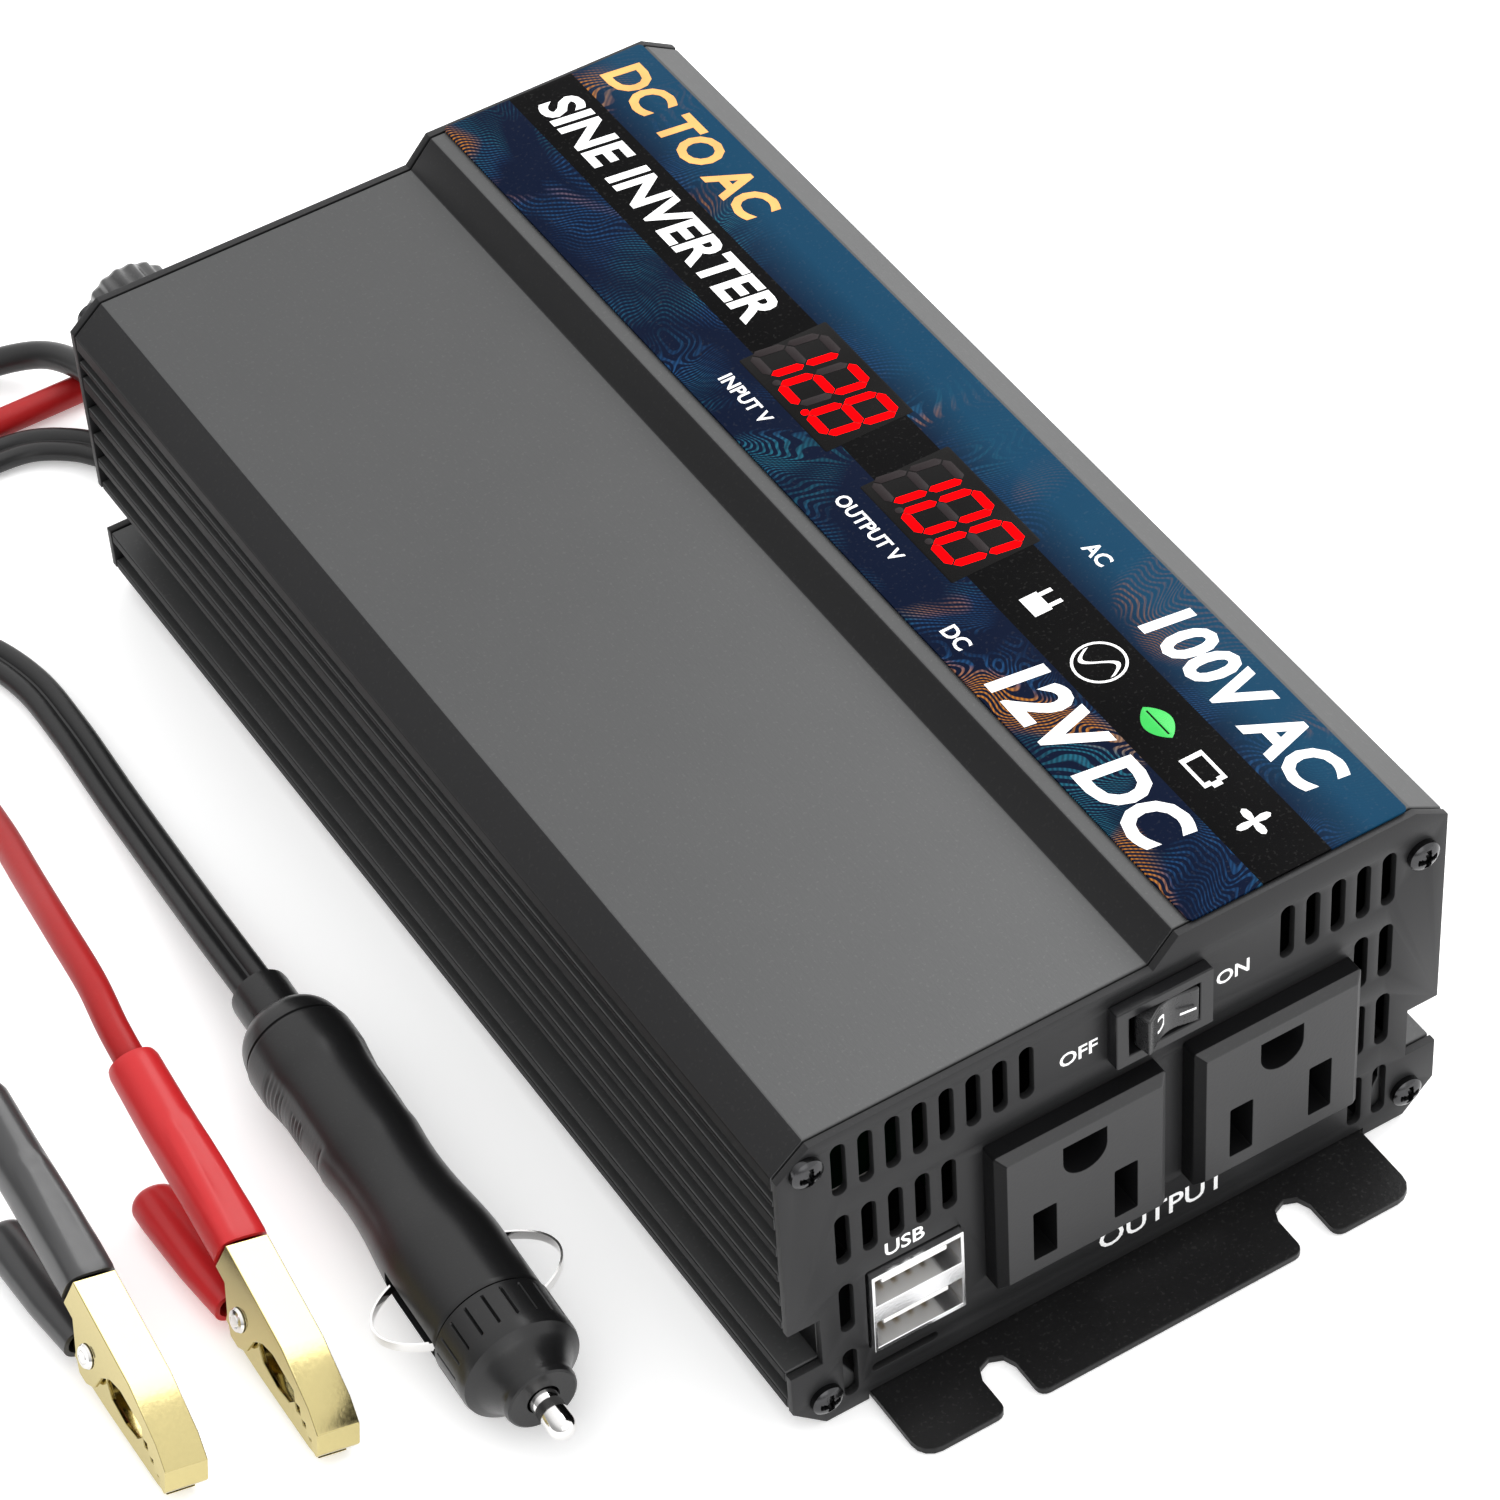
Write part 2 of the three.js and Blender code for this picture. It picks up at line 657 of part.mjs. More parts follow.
add('usb_shell', usbShell(), 'steel');
add('usb_tongues', usbTongues(), 'white');

// ---------------------------------------------------------------- rocker switch
function switchHousing() {
  const { x, z, width, height, flange, cut: barrel, depth } = SWITCH;
  const face = -CASE.halfLength;
  const rim = box(x - width / 2, x + width / 2, face - flange, face, z - height / 2, z + height / 2);
  const [a, b] = [barrel[0] / 2, barrel[1] / 2];
  const body = box(x - a, x + a, face - 1, face + depth, z - b, z + b);
  const well = box(x - 5.45, x + 5.45, face - flange - 1, face + depth - 2, z - 3.5, z + 3.5);
  return cut(join(rim, body), well);
}

/** The rocker's outline seen from above, pressed on its right side. */
function rocker() {
  const { half, rise, dip, height, angle, pivotY } = ROCKER;
  const shape = outline([
    [-half, -rise], [0, -rise + dip], [half, -rise], [half, -1.8], [2, 1.5], [-2, 1.5], [-half, -1.8],
  ]);
  const middle = SWITCH.z;
  return alongZ(shape, middle - height / 2, middle + height / 2)
    .rotateZ(THREE.MathUtils.degToRad(angle))
    .translate(SWITCH.x, pivotY, 0);
}

add('switch_housing', switchHousing(), 'black');
add('switch_rocker', rocker(), 'black');

// ---------------------------------------------------------------- electronics
const BOARD = { half: 42.8, y0: -78, y1: 80, z: 8.7, thick: 1.6 };
const BOARD_TOP = BOARD.z + BOARD.thick;
const CORE = { y: 14, z: BOARD_TOP + GAP, half: 19, height: 30, leg: 7, thick: 12 };

/** The ferrite core: an outer frame round a middle leg. */
function transformerCore() {
  const { y, z, half, height, leg, thick } = CORE;
  const frame = box(-half, half, y - thick / 2, y + thick / 2, z, z + height);
  const windows = [-1, 1].map((side) => {
    const [x0, x1] = [side * (leg / 2), side * (half - 4)].sort((a, b) => a - b);
    return box(x0, x1, y - thick, y + thick, z + 4, z + height - 4);
  });
  return cut(frame, ...windows);
}

function transformerWinding() {
  const { y, z, height, leg } = CORE;
  const coil = cylinderZ(10.6, z + 4 + GAP, z + height - 4 - GAP, 16);
  const [a, b] = [leg / 2 + GAP, CORE.thick / 2 + GAP];
  return cut(coil, box(-a, a, -b, b, z, z + height)).translate(0, y, 0);
}

add('main_board', box(-BOARD.half, BOARD.half, BOARD.y0, BOARD.y1, BOARD.z, BOARD_TOP), 'board');
add('transformer_core', transformerCore(), 'ferrite');
add('transformer_winding', transformerWinding(), 'copper');
add('large_capacitor', cylinderZ(9, BOARD_TOP, BOARD_TOP + 30, 18).translate(26, -40, 0), 'black');

// ---------------------------------------------------------------- fan
function fanScrewPlaces() {
  return [-1, 1].flatMap((a) => [-1, 1].map((b) => [FAN.x + a * FAN.screw, FAN.z + b * FAN.screw]));
}

function fanFrame() {
  const half = FAN.size / 2;
  const y1 = CASE.halfLength - CASE.panel;
  const y0 = y1 - FAN.thick;
  const square = roundedRectangle(FAN.x - half, FAN.x + half, FAN.z - half, FAN.z + half, 3);
  square.holes = [
    roundHole(FAN.x, FAN.z, FAN.bore),
    ...fanScrewPlaces().map(([x, z]) => roundHole(x, z, 1.4)),
  ];
  const arms = [0, 60, 120].map((angle) => box(-FAN.bore - 0.4, FAN.bore + 0.4, y0, y0 + 1.4, -1.1, 1.1)
    .rotateY(THREE.MathUtils.degToRad(angle)).translate(FAN.x, 0, FAN.z));
  const hub = cylinderY(FAN.hub, y0, y0 + 1.4).translate(FAN.x, 0, FAN.z);
  return join(alongY(square, y0, y1, 8), ...arms, hub);
}

function fanRotor() {
  const y1 = CASE.halfLength - CASE.panel - 0.8;
  const y0 = y1 - FAN.thick + 2.8;
  const blades = [];
  for (let i = 0; i < FAN.blades; i += 1) {
    const blade = box(-3.4, 3.4, -0.5, 0.5, FAN.hub - 1, FAN.bore - 1.6)
      .rotateZ(THREE.MathUtils.degToRad(38))
      .translate(0, (y0 + y1) / 2, 0)
      .rotateY((i / FAN.blades) * Math.PI * 2);
    blades.push(blade);
  }
  return join(cylinderY(FAN.hub, y0, y1), ...blades).translate(FAN.x, 0, FAN.z);
}

add('fan_frame', fanFrame(), 'black');
add('fan_rotor', fanRotor(), 'black');

// ---------------------------------------------------------------- binding posts
/** Y positions along a post, from the panel outward. */
const STACK = { base: CASE.halfLength };
STACK.firstRing = STACK.base + POST.base + GAP;
STACK.secondRing = STACK.firstRing + RING.thick + GAP;
STACK.washer = STACK.secondRing + RING.thick + GAP;
STACK.knob = STACK.washer + POST.washer + GAP;

function postBase() {
  const y = STACK.base;
  const r = POST.baseRadius;
  return turned([
    [POST.stud + GAP, y - 3.5], [POST.stud + 0.9, y - 3.5], [POST.stud + 0.9, y], [r, y], [r, y + 3.4],
    [r - 0.8, y + POST.base], [POST.stud + GAP, y + POST.base], [POST.stud + GAP, y - 3.5],
  ], 16);
}

/** The stud and its flat inner head, which the base's collar bears on. */
function postStud() {
  const head = STACK.base - 3.5 - GAP;
  return turned([
    [0, head - 12], [POST.stud, head - 12], [POST.stud, head - 3.6], [6, head - 3.6], [6, head],
    [POST.stud, head], [POST.stud, STACK.knob + 4.8], [POST.stud - 0.8, STACK.knob + 5.6],
    [0, STACK.knob + 5.6],
  ], 12);
}

function postWasher() {
  const [y0, y1] = [STACK.washer, STACK.washer + POST.washer];
  const bore = POST.stud + GAP;
  return turned([[bore, y0], [6.2, y0], [6.2, y1], [bore, y1], [bore, y0]], 14);
}

/** A fluted thumb nut, blind at its outer end. */
function postKnob() {
  const flutes = 12;
  const points = [];
  for (let i = 0; i < flutes * 3; i += 1) {
    const angle = (i / (flutes * 3)) * Math.PI * 2;
    const radius = POST.grip - [0, 0, 0.6][i % 3];
    points.push([Math.cos(angle) * radius, Math.sin(angle) * radius]);
  }
  const ring = (y, scale) => points.map(([x, z]) => [x * scale, y, z * scale]);
  const y0 = STACK.knob;
  const y1 = y0 + POST.knob;
  const body = loft([ring(y0, 1), ring(y1 - 1.4, 1), ring(y1, 0.86)]);
  return cut(body, cylinderY(POST.stud + GAP, y0 - 1, y1 - 1.6, 12));
}

/** A crimped ring terminal, its barrel turned from straight down by the given angle. */
function ringTerminal(y, barrelRadius, angle) {
  const { outer, hole, thick, tang, bend, barrel } = RING;
  const shape = new THREE.Shape();
  shape.absarc(0, 0, outer, -Math.PI / 2 + 0.5, Math.PI * 1.5 - 0.5, false);
  shape.lineTo(-2, -tang - 2.4);
  shape.lineTo(2, -tang - 2.4);
  shape.holes = [roundHole(0, 0, hole)];
  const tube = cylinderY(barrelRadius, 0, barrel, 10)
    .rotateX(THREE.MathUtils.degToRad(bend - 90))
    .translate(0, barrelRadius * 0.84, -tang);
  return join(alongY(shape, 0, thick, 5), tube)
    .rotateY(THREE.MathUtils.degToRad(angle))
    .translate(0, y, 0);
}

for (const [colour, tailAngle] of [['red', 45], ['black', -60]]) {
  const post = new THREE.Group();
  post.position.set(POST[colour], 0, POST.z);
  inverter.add(post);
  const look = colour === 'red' ? 'red' : 'plastic';
  add(`${colour}_post_base`, postBase(), look, post);
  add(`${colour}_post_stud`, postStud(), 'brass', post);
  add(`${colour}_post_washer`, postWasher(), 'steel', post);
  add(`${colour}_post_knob`, postKnob(), look, post);
  add(`${colour}_clamp_terminal`, ringTerminal(STACK.firstRing, 2.8, 0), 'steel', post);
  add(`${colour}_plug_terminal`, ringTerminal(STACK.secondRing, 2.2, tailAngle), 'steel', post);
}

// ---------------------------------------------------------------- leads
add('red_clamp_lead', cord(RED_ROUTE, LEAD.radius, LEAD.radius, 8, 9), 'red');
add('black_clamp_lead', cord(BLACK_ROUTE, LEAD.radius, LEAD.radius, 8, 9), 'rubber');
add('plug_lead', cord(TWIN_ROUTE, LEAD.twinWidth / 2, LEAD.twinHeight / 2, 8, 9), 'rubber');
add('plug_lead_red_tail', cord(RED_TAIL, LEAD.tail, LEAD.tail, 8, 4), 'red');
add('plug_lead_black_tail', cord(BLACK_TAIL, LEAD.tail, LEAD.tail, 8, 4), 'rubber');

function splitSleeve() {
  const oval = [];
  for (let i = 0; i < 12; i += 1) {
    const angle = (i / 12) * Math.PI * 2;
    oval.push([Math.cos(angle) * SPLIT.halfWidth, Math.sin(angle) * SPLIT.halfHeight]);
  }
  return alongX(outline(oval), SPLIT.x0, SPLIT.x1).translate(0, SPLIT.y, SPLIT.z);
}

add('plug_lead_split', splitSleeve(), 'rubber');

// ---------------------------------------------------------------- lighter plug
// Built along local -Y from the cable end, then turned into place.
const plug = new THREE.Group();
plug.position.set(PLUG.x, PLUG.y, PLUG.z);
plug.rotation.z = THREE.MathUtils.degToRad(PLUG.yaw);
inverter.add(plug);

const CONTACT = { start: 56, end: 68.6, root: 7.1, bulge: 6.6, strip: 0.5, half: 1.2 };

function plugBody() {
  const outer = [
    [4.4, 0], [4.4, 7.4], [5.8, 7.7], [7.2, 9.4], [7.7, 11.8], [8, 12.4], [8.1, 18], [7.7, 22],
    [7.6, 34], [7.3, 42], [7.8, 49], [PLUG.radius, 55], [PLUG.radius, 69.2],
  ];
  const inner = [[PLUG.core, 69.2], [PLUG.core, 26], [0, 26]];
  const body = turned([[0, 0], ...outer, ...inner].map(([radius, u]) => [radius, -u]), 18);
  const slot = (side) => {
    const [x0, x1] = [side * 3, side * 12].sort((a, b) => a - b);
    return box(x0, x1, -72, -CONTACT.start + 1.2, -CONTACT.half - GAP, CONTACT.half + GAP);
  };
  return cut(body, slot(-1), slot(1));
}

/** A bowed side spring, its two feet inside the body. */
function plugContact(side) {
  const steps = 12;
  const outside = [];
  const inside = [];
  for (let i = 0; i <= steps; i += 1) {
    const t = i / steps;
    const u = CONTACT.start + t * (CONTACT.end - CONTACT.start);
    const r = CONTACT.root + CONTACT.bulge * Math.sin(Math.PI * t) ** 0.7;
    outside.push([side * (r + CONTACT.strip), -u - (t - 0.5) * 1.1]);
    inside.unshift([side * r, -u]);
  }
  return alongZ(outline([...outside, ...inside]), -CONTACT.half, CONTACT.half);
}

function plugCap() {
  const start = 69.5;
  return turned([
    [PLUG.core + 0.2, start], [PLUG.radius + 0.2, start], [PLUG.radius + 0.2, start + 7.3],
    [7.6, start + 8.1], [5.9, start + 10.4], [5.1, start + 12.6], [5.1, start + 14],
    [PLUG.tip + GAP, start + 14], [PLUG.tip + GAP, start + 10], [PLUG.core + 0.2, start + 8],
    [PLUG.core + 0.2, start],
  ].map(([radius, u]) => [radius, -u]), 18);
}

function plugTip() {
  const start = 78.4;
  return turned([
    [0, start - 2.2], [3.6, start - 2.2], [3.6, start - 1], [PLUG.tip, start - 1], [PLUG.tip, start + 10],
    [1.5, start + 11.4], [0, start + 12],
  ].map(([radius, u]) => [radius, -u]), 16);
}

function plugFuse() {
  return turned([[0, 44], [3, 44], [3, 72], [0, 72]].map(([radius, u]) => [radius, -u]), 16);
}

add('plug_body', plugBody(), 'black', plug);
add('plug_left_contact', plugContact(-1), 'steel', plug);
add('plug_right_contact', plugContact(1), 'steel', plug);
add('plug_cap', plugCap(), 'black', plug);
add('plug_tip', plugTip(), 'steel', plug);
add('plug_fuse', plugFuse(), 'steel', plug);

// ---------------------------------------------------------------- battery clamps
// Side view in local (u, w): u runs from the cable to the jaw tip, w toward the upper
// handle. Width runs along v.
const sidePlate = (points, halfWidth) => {
  const shape = new THREE.Shape(points.map(([u, w]) => new THREE.Vector2(u, w)));
  return alongZ(shape, -halfWidth, halfWidth);
};

/** Teeth along a jaw's biting edge, from one end to the other. */
function teeth(u0, u1, w0, w1, count, depth) {
  const points = [];
  for (let i = 0; i < count * 2; i += 1) {
    const t = i / (count * 2 - 1);
    points.push([u0 + (u1 - u0) * t, w0 + (w1 - w0) * t + (i % 2) * depth]);
  }
  return points;
}

function upperJaw() {
  const half = CLAMP.width / 2;
  const skin = CLAMP.sheet;
  const start = CLAMP.sleeve + GAP;
  const back = [[start, 4.2], [49.5, 4.2], [58.2, 2.9], [61.8, 1.6], [CLAMP.length, -0.8]];
  const bite = teeth(62.2, 54.6, -1.5, 0.9, 4, 0.7);
  const eye = [[52, 1.5], [48.6, 1.3], [46, 0.2], [44.6, -1.6]];
  const ear = [[44.2, -4.6], [42.6, -6], [40.6, -6.2], [38.6, -4.6], [35.4, -0.8], [start, -0.8]];
  const plate = [...back, [63.2, -1.6], ...bite, ...eye, ...ear];
  const hollow = [
    [28, 4.2 - skin], [49.2, 4.2 - skin], [57.8, 2.9 - skin], [61.2, 1.6 - skin], [62.5, -1], [62.5, -9],
    [28, -9],
  ];
  const shell = cut(sidePlate(plate, half), sidePlate(hollow, half - skin));
  const handle = box(13, CLAMP.sleeve + 2, 1.6, 3, -1.9, 1.9);
  const shoulder = box(start, CLAMP.sleeve + 2, 1.6, 3.9, -2.9, 2.9);
  return cut(join(shell, handle, shoulder), cylinderZ(1.5, -9, 9, 10).translate(...CLAMP.rivet, 0));
}

function lowerJaw() {
  const half = CLAMP.width / 2 - CLAMP.sheet - GAP;
  const skin = CLAMP.sheet;
  const bite = teeth(54.8, 62.1, -1.1, -2.2, 4, -0.6);
  const plate = [
    [38.4, 0.2], [43.2, 0.2], [44.8, -2.4], [47, -3.6], [51, -3.5], [54, -2.6], ...bite, [62.9, -2.9],
    [60.6, -3.7], [54, -5], [47, -6.3], [42, -7], [37.6, -7], [37, -4.6],
  ];
  const hollow = [
    [63.5, 6], [63.5, -2.2], [60.4, -3.7 + skin], [54, -5 + skin], [47, -6.3 + skin], [42, -7 + skin],
    [34, -7 + skin], [34, 6],
  ];
  const shell = cut(sidePlate(plate, half), sidePlate(hollow, half - skin));
  const [u, w] = CLAMP.handleRoot;
  const handle = box(-21, 1.6, -0.7, 0.7, -1.8, 1.8)
    .rotateZ(THREE.MathUtils.degToRad(CLAMP.handleAngle))
    .translate(u, w, 0);
  return cut(join(shell, handle), cylinderZ(1.5, -9, 9, 10).translate(...CLAMP.rivet, 0));
}

function clampRivet() {
  const half = CLAMP.width / 2 + 0.2;
  return turned([
    [0, -half - 0.6], [1.4, -half - 0.4], [1.8, -half], [1.2, -half], [1.2, half], [1.8, half],
    [1.4, half + 0.4], [0, half + 0.6],
  ], 12).rotateX(Math.PI / 2).translate(...CLAMP.rivet, 0);
}

/** An oval sleeve section at u, as a ring of points. */
function sleeveRing(u, w, halfHeight, halfWidth) {
  const points = [];
  for (let i = 0; i < 12; i += 1) {
    const angle = (i / 12) * Math.PI * 2;
    points.push([u, w + Math.sin(angle) * halfHeight, Math.cos(angle) * halfWidth]);
  }
  return points;
}

function upperSleeve() {
  const outer = loft([
    sleeveRing(0, 0, 3.7, 3.7), sleeveRing(11, 0.5, 3.8, 3.8), sleeveRing(22, 1.4, 3.5, 3.8),
    sleeveRing(CLAMP.sleeve, 1.8, 3.1, 3.8),
  ]);
  return cut(outer, box(12.6, 40, 1.6 - GAP, 3 + GAP, -2.2, 2.2));
}

function lowerSleeve() {
  const outer = loft([
    sleeveRing(-1.4, 0, 2.4, 3.2), sleeveRing(-11, 0, 2.8, 3.8), sleeveRing(-21.5, 0, 3.1, 3.7),
    sleeveRing(-24.2, 0, 2.5, 2.9), sleeveRing(-25.3, 0, 1.2, 1.4),
  ]);
  const [u, w] = CLAMP.handleRoot;
  return cut(outer, box(-21.5, 3, -1, 1, -2.1, 2.1))
    .rotateZ(THREE.MathUtils.degToRad(CLAMP.handleAngle))
    .translate(u, w, 0);
}

/** Where a clamp lies: forward along u, up along w, its width along v. */
function clampPlace(place) {
  const [yaw, pitch, roll] = [place.yaw, place.pitch, place.roll].map(THREE.MathUtils.degToRad);
  const level = new THREE.Vector3(Math.cos(yaw), Math.sin(yaw), 0);
  const forward = new THREE.Vector3(
    Math.sin(yaw) * Math.cos(pitch),
    -Math.cos(yaw) * Math.cos(pitch),
    -Math.sin(pitch),
  );
  const up = new THREE.Vector3().crossVectors(forward, level);
  const across = level.multiplyScalar(Math.cos(roll)).add(up.multiplyScalar(Math.sin(roll)));
  const width = new THREE.Vector3().crossVectors(forward, across);
  return new THREE.Matrix4().makeBasis(forward, across, width).setPosition(place.x, place.y, place.z);
}

for (const [colour, place] of Object.entries(CLAMPS)) {
  const clamp = new THREE.Group();
  clamp.applyMatrix4(clampPlace(place));
  inverter.add(clamp);
  const look = colour === 'red' ? 'red' : 'rubber';
  add(`${colour}_clamp_upper_jaw`, upperJaw(), 'gold', clamp);
  add(`${colour}_clamp_lower_jaw`, lowerJaw(), 'gold', clamp);
  add(`${colour}_clamp_upper_sleeve`, upperSleeve(), look, clamp);
  add(`${colour}_clamp_lower_sleeve`, lowerSleeve(), look, clamp);
  add(`${colour}_clamp_rivet`, clampRivet(), 'steel', clamp);
}

export default inverter;
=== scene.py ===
"""Looks of a small power inverter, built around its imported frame.

Sizes inside the classes are millimetres. A mesh is written in metres, in the frame's own axes:
+X to the right when facing the outlets, +Y to the rear and +Z up.
"""

from __future__ import annotations

import logging
import math
from collections.abc import Callable, Iterable, Sequence
from dataclasses import dataclass
from enum import Enum

import bmesh
import bpy
import numpy as np
from mathutils import Matrix, Vector


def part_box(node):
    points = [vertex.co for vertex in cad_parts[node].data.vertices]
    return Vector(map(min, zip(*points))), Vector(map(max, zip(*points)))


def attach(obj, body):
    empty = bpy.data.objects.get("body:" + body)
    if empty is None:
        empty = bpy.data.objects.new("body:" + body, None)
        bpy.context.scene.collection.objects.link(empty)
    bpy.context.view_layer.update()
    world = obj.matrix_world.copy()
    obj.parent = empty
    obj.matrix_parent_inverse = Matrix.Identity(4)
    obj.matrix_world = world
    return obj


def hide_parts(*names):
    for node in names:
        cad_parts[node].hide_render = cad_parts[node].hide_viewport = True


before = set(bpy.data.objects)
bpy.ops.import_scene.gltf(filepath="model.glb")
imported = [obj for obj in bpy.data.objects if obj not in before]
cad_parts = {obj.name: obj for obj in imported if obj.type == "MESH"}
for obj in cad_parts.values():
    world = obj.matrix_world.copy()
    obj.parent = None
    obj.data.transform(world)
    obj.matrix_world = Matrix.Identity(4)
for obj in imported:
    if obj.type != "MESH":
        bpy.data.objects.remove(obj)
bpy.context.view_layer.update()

log = logging.getLogger("inverter")
MM = 0.001
Point = tuple[float, float, float]
Pair = tuple[float, float]


# ------------------------------------------------------------------ finishes
class Graph:
    """A short way to write nodes and their links."""

    def __init__(self, tree: bpy.types.NodeTree) -> None:
        """Args: tree: the material's or the group's node tree."""
        self.tree = tree

    def add(self, kind: str, inputs: dict | None = None, **settings: object) -> bpy.types.Node:
        """Adds one node.

        Args:
            kind: the node's type name, without its ShaderNode prefix.
            inputs: socket name or number to a value, or to the output socket that feeds it.
            settings: the node's own properties.

        Returns:
            The node.
        """
        node = self.tree.nodes.new("ShaderNode" + kind)
        for name, value in settings.items():
            setattr(node, name, value)
        for name, value in (inputs or {}).items():
            socket = node.inputs[name]
            if isinstance(value, bpy.types.NodeSocket):
                self.tree.links.new(value, socket)
            else:
                socket.default_value = value
        return node

    def math(self, operation: str, *values: object, clamp: bool = False) -> bpy.types.NodeSocket:
        """Args: operation: the sum to do; values: its terms. Returns: the result's socket."""
        node = self.add("Math", dict(enumerate(values)), operation=operation, use_clamp=clamp)
        return node.outputs[0]

    def mix(self, share: object, first: object, second: object, blend: str = "MIX") -> bpy.types.NodeSocket:
        """Args: share: how much of the second colour shows. Returns: the mixed colour's socket."""
        node = self.add("Mix", {0: share, 6: first, 7: second}, data_type="RGBA", blend_type=blend)
        return node.outputs[2]

    def ramp(self, value: object, stops: Sequence[tuple[float, float]]) -> bpy.types.NodeSocket:
        """Args: value: the input; stops: (place, grey level) pairs. Returns: the colour's socket."""
        node = self.add("ValToRGB", {0: value})
        band = node.color_ramp.elements
        while len(band) < len(stops):
            band.new(0.5)
        for element, (place, level) in zip(band, stops):
            element.position = place
            element.color = (level, level, level, 1)
        return node.outputs[0]


@dataclass(frozen=True)
class Socket:
    """One socket of a node group."""

    name: str
    kind: str = "Float"
    value: object = None


class Effect:
    """A shader node group that several finishes share."""

    name = "effect"
    takes: tuple[Socket, ...] = ()
    gives: tuple[Socket, ...] = ()

    def __init__(self) -> None:
        """Builds the group, with its named inputs and outputs."""
        self.tree = bpy.data.node_groups.new(self.name, "ShaderNodeTree")
        for way, sockets in (("INPUT", self.takes), ("OUTPUT", self.gives)):
            for entry in sockets:
                made = self.tree.interface.new_socket(
                    name=entry.name, in_out=way, socket_type="NodeSocket" + entry.kind)
                if entry.value is not None:
                    made.default_value = entry.value
        self.graph = Graph(self.tree)
        self.source = self.tree.nodes.new("NodeGroupInput").outputs
        self.sink = self.tree.nodes.new("NodeGroupOutput").inputs
        self.wire()

    def wire(self) -> None:
        """Fills the group with its nodes."""
        raise NotImplementedError

    def give(self, name: str, socket: bpy.types.NodeSocket) -> None:
        """Args: name: one of the group's outputs; socket: what feeds it."""
        self.tree.links.new(socket, self.sink[name])

    def use(self, graph: Graph, **values: object) -> bpy.types.Node:
        """Places the group in a material.

        Args:
            graph: the material's graph.
            values: input names, with _ for a space, and their values.

        Returns:
            The group node.
        """
        node = graph.add("Group", node_tree=self.tree)
        for name, value in values.items():
            socket = node.inputs[name.replace("_", " ")]
            if isinstance(value, bpy.types.NodeSocket):
                graph.tree.links.new(value, socket)
            else:
                socket.default_value = value
        return node


class Grain(Effect):
    """Fine speckle with slow mottling under it: colour, roughness and a shallow relief.

    Colour = base · (1 + spread · (fine − ½) + ½ spread · (slow − ½)), and the relief is the fine noise.
    """

    name = "grain"
    takes = (
        Socket("Base", "Color", (0.5, 0.5, 0.5, 1)), Socket("Spread", value=0.2),
        Socket("Scale", value=2500.0),
        Socket("Slow Scale", value=60.0), Socket("Roughness", value=0.5),
        Socket("Roughness Spread", value=0.1),
        Socket("Depth", value=0.00002), Socket("Stretch", "Vector", (1.0, 1.0, 1.0)),
    )
    gives = (Socket("Colour", "Color"), Socket("Roughness"), Socket("Normal", "Vector"))

    def wire(self) -> None:
        """Two noises, one fine and one slow, feed all three outputs."""
        g, s = self.graph, self.source
        place = g.add("TexCoord").outputs["Object"]
        drawn = g.add("VectorMath", {0: place, 1: s["Stretch"]}, operation="MULTIPLY").outputs[0]
        fine = g.add("TexNoise", {"Vector": drawn, "Scale": s["Scale"], "Detail": 3.0}).outputs[0]
        slow = g.add("TexNoise", {"Vector": place, "Scale": s["Slow Scale"], "Detail": 4.0}).outputs[0]
        fine_off = g.math("SUBTRACT", fine, 0.5)
        slow_off = g.math("SUBTRACT", slow, 0.5)
        sway = g.math("ADD", fine_off, g.math("MULTIPLY", slow_off, 0.5))
        gain = g.math("ADD", g.math("MULTIPLY", sway, s["Spread"]), 1.0)
        grey = g.add("CombineColor", {0: gain, 1: gain, 2: gain}).outputs[0]
        self.give("Colour", g.mix(1.0, s["Base"], grey, "MULTIPLY"))
        rough = g.math("ADD", g.math("MULTIPLY", g.math("ADD", slow_off, fine_off), s["Roughness Spread"]),
                       s["Roughness"])
        self.give("Roughness", g.math("MAXIMUM", rough, 0.03))
        bump = g.add("Bump", {"Strength": 1.0, "Distance": s["Depth"], "Height": fine})
        self.give("Normal", bump.outputs[0])


class Dust(Effect):
    """A thin pale dust that lies on faces that look up, in soft patches."""

    name = "dust"
    takes = (Socket("Colour", "Color", (0.5, 0.5, 0.5, 1)), Socket("Amount", value=0.05),
             Socket("Roughness", value=0.4))
    gives = (Socket("Colour", "Color"), Socket("Roughness"))

    def wire(self) -> None:
        """Mask = upward part of the normal · patchy noise · amount."""
        g, s = self.graph, self.source
        up = g.add("SeparateXYZ", {0: g.add("NewGeometry").outputs["Normal"]}).outputs[2]
        place = g.add("TexCoord").outputs["Object"]
        patch = g.add("TexNoise",
                      {"Vector": place, "Scale": 45.0, "Detail": 6.0, "Roughness": 0.7}).outputs[0]
        specks = g.add("TexNoise", {"Vector": place, "Scale": 1900.0, "Detail": 1.0}).outputs[0]
        lint = g.ramp(specks, [(0.62, 0.0), (0.72, 1.0)])
        body = g.math("ADD", patch, g.math("MULTIPLY", lint, 1.5))
        mask = g.math("MULTIPLY", g.math("MULTIPLY", g.math("MAXIMUM", up, 0.0), body), s["Amount"],
                      clamp=True)
        self.give("Colour", g.mix(mask, s["Colour"], (0.55, 0.54, 0.52, 1)))
        self.give("Roughness", g.math("ADD", s["Roughness"], g.math("MULTIPLY", mask, 0.3)))


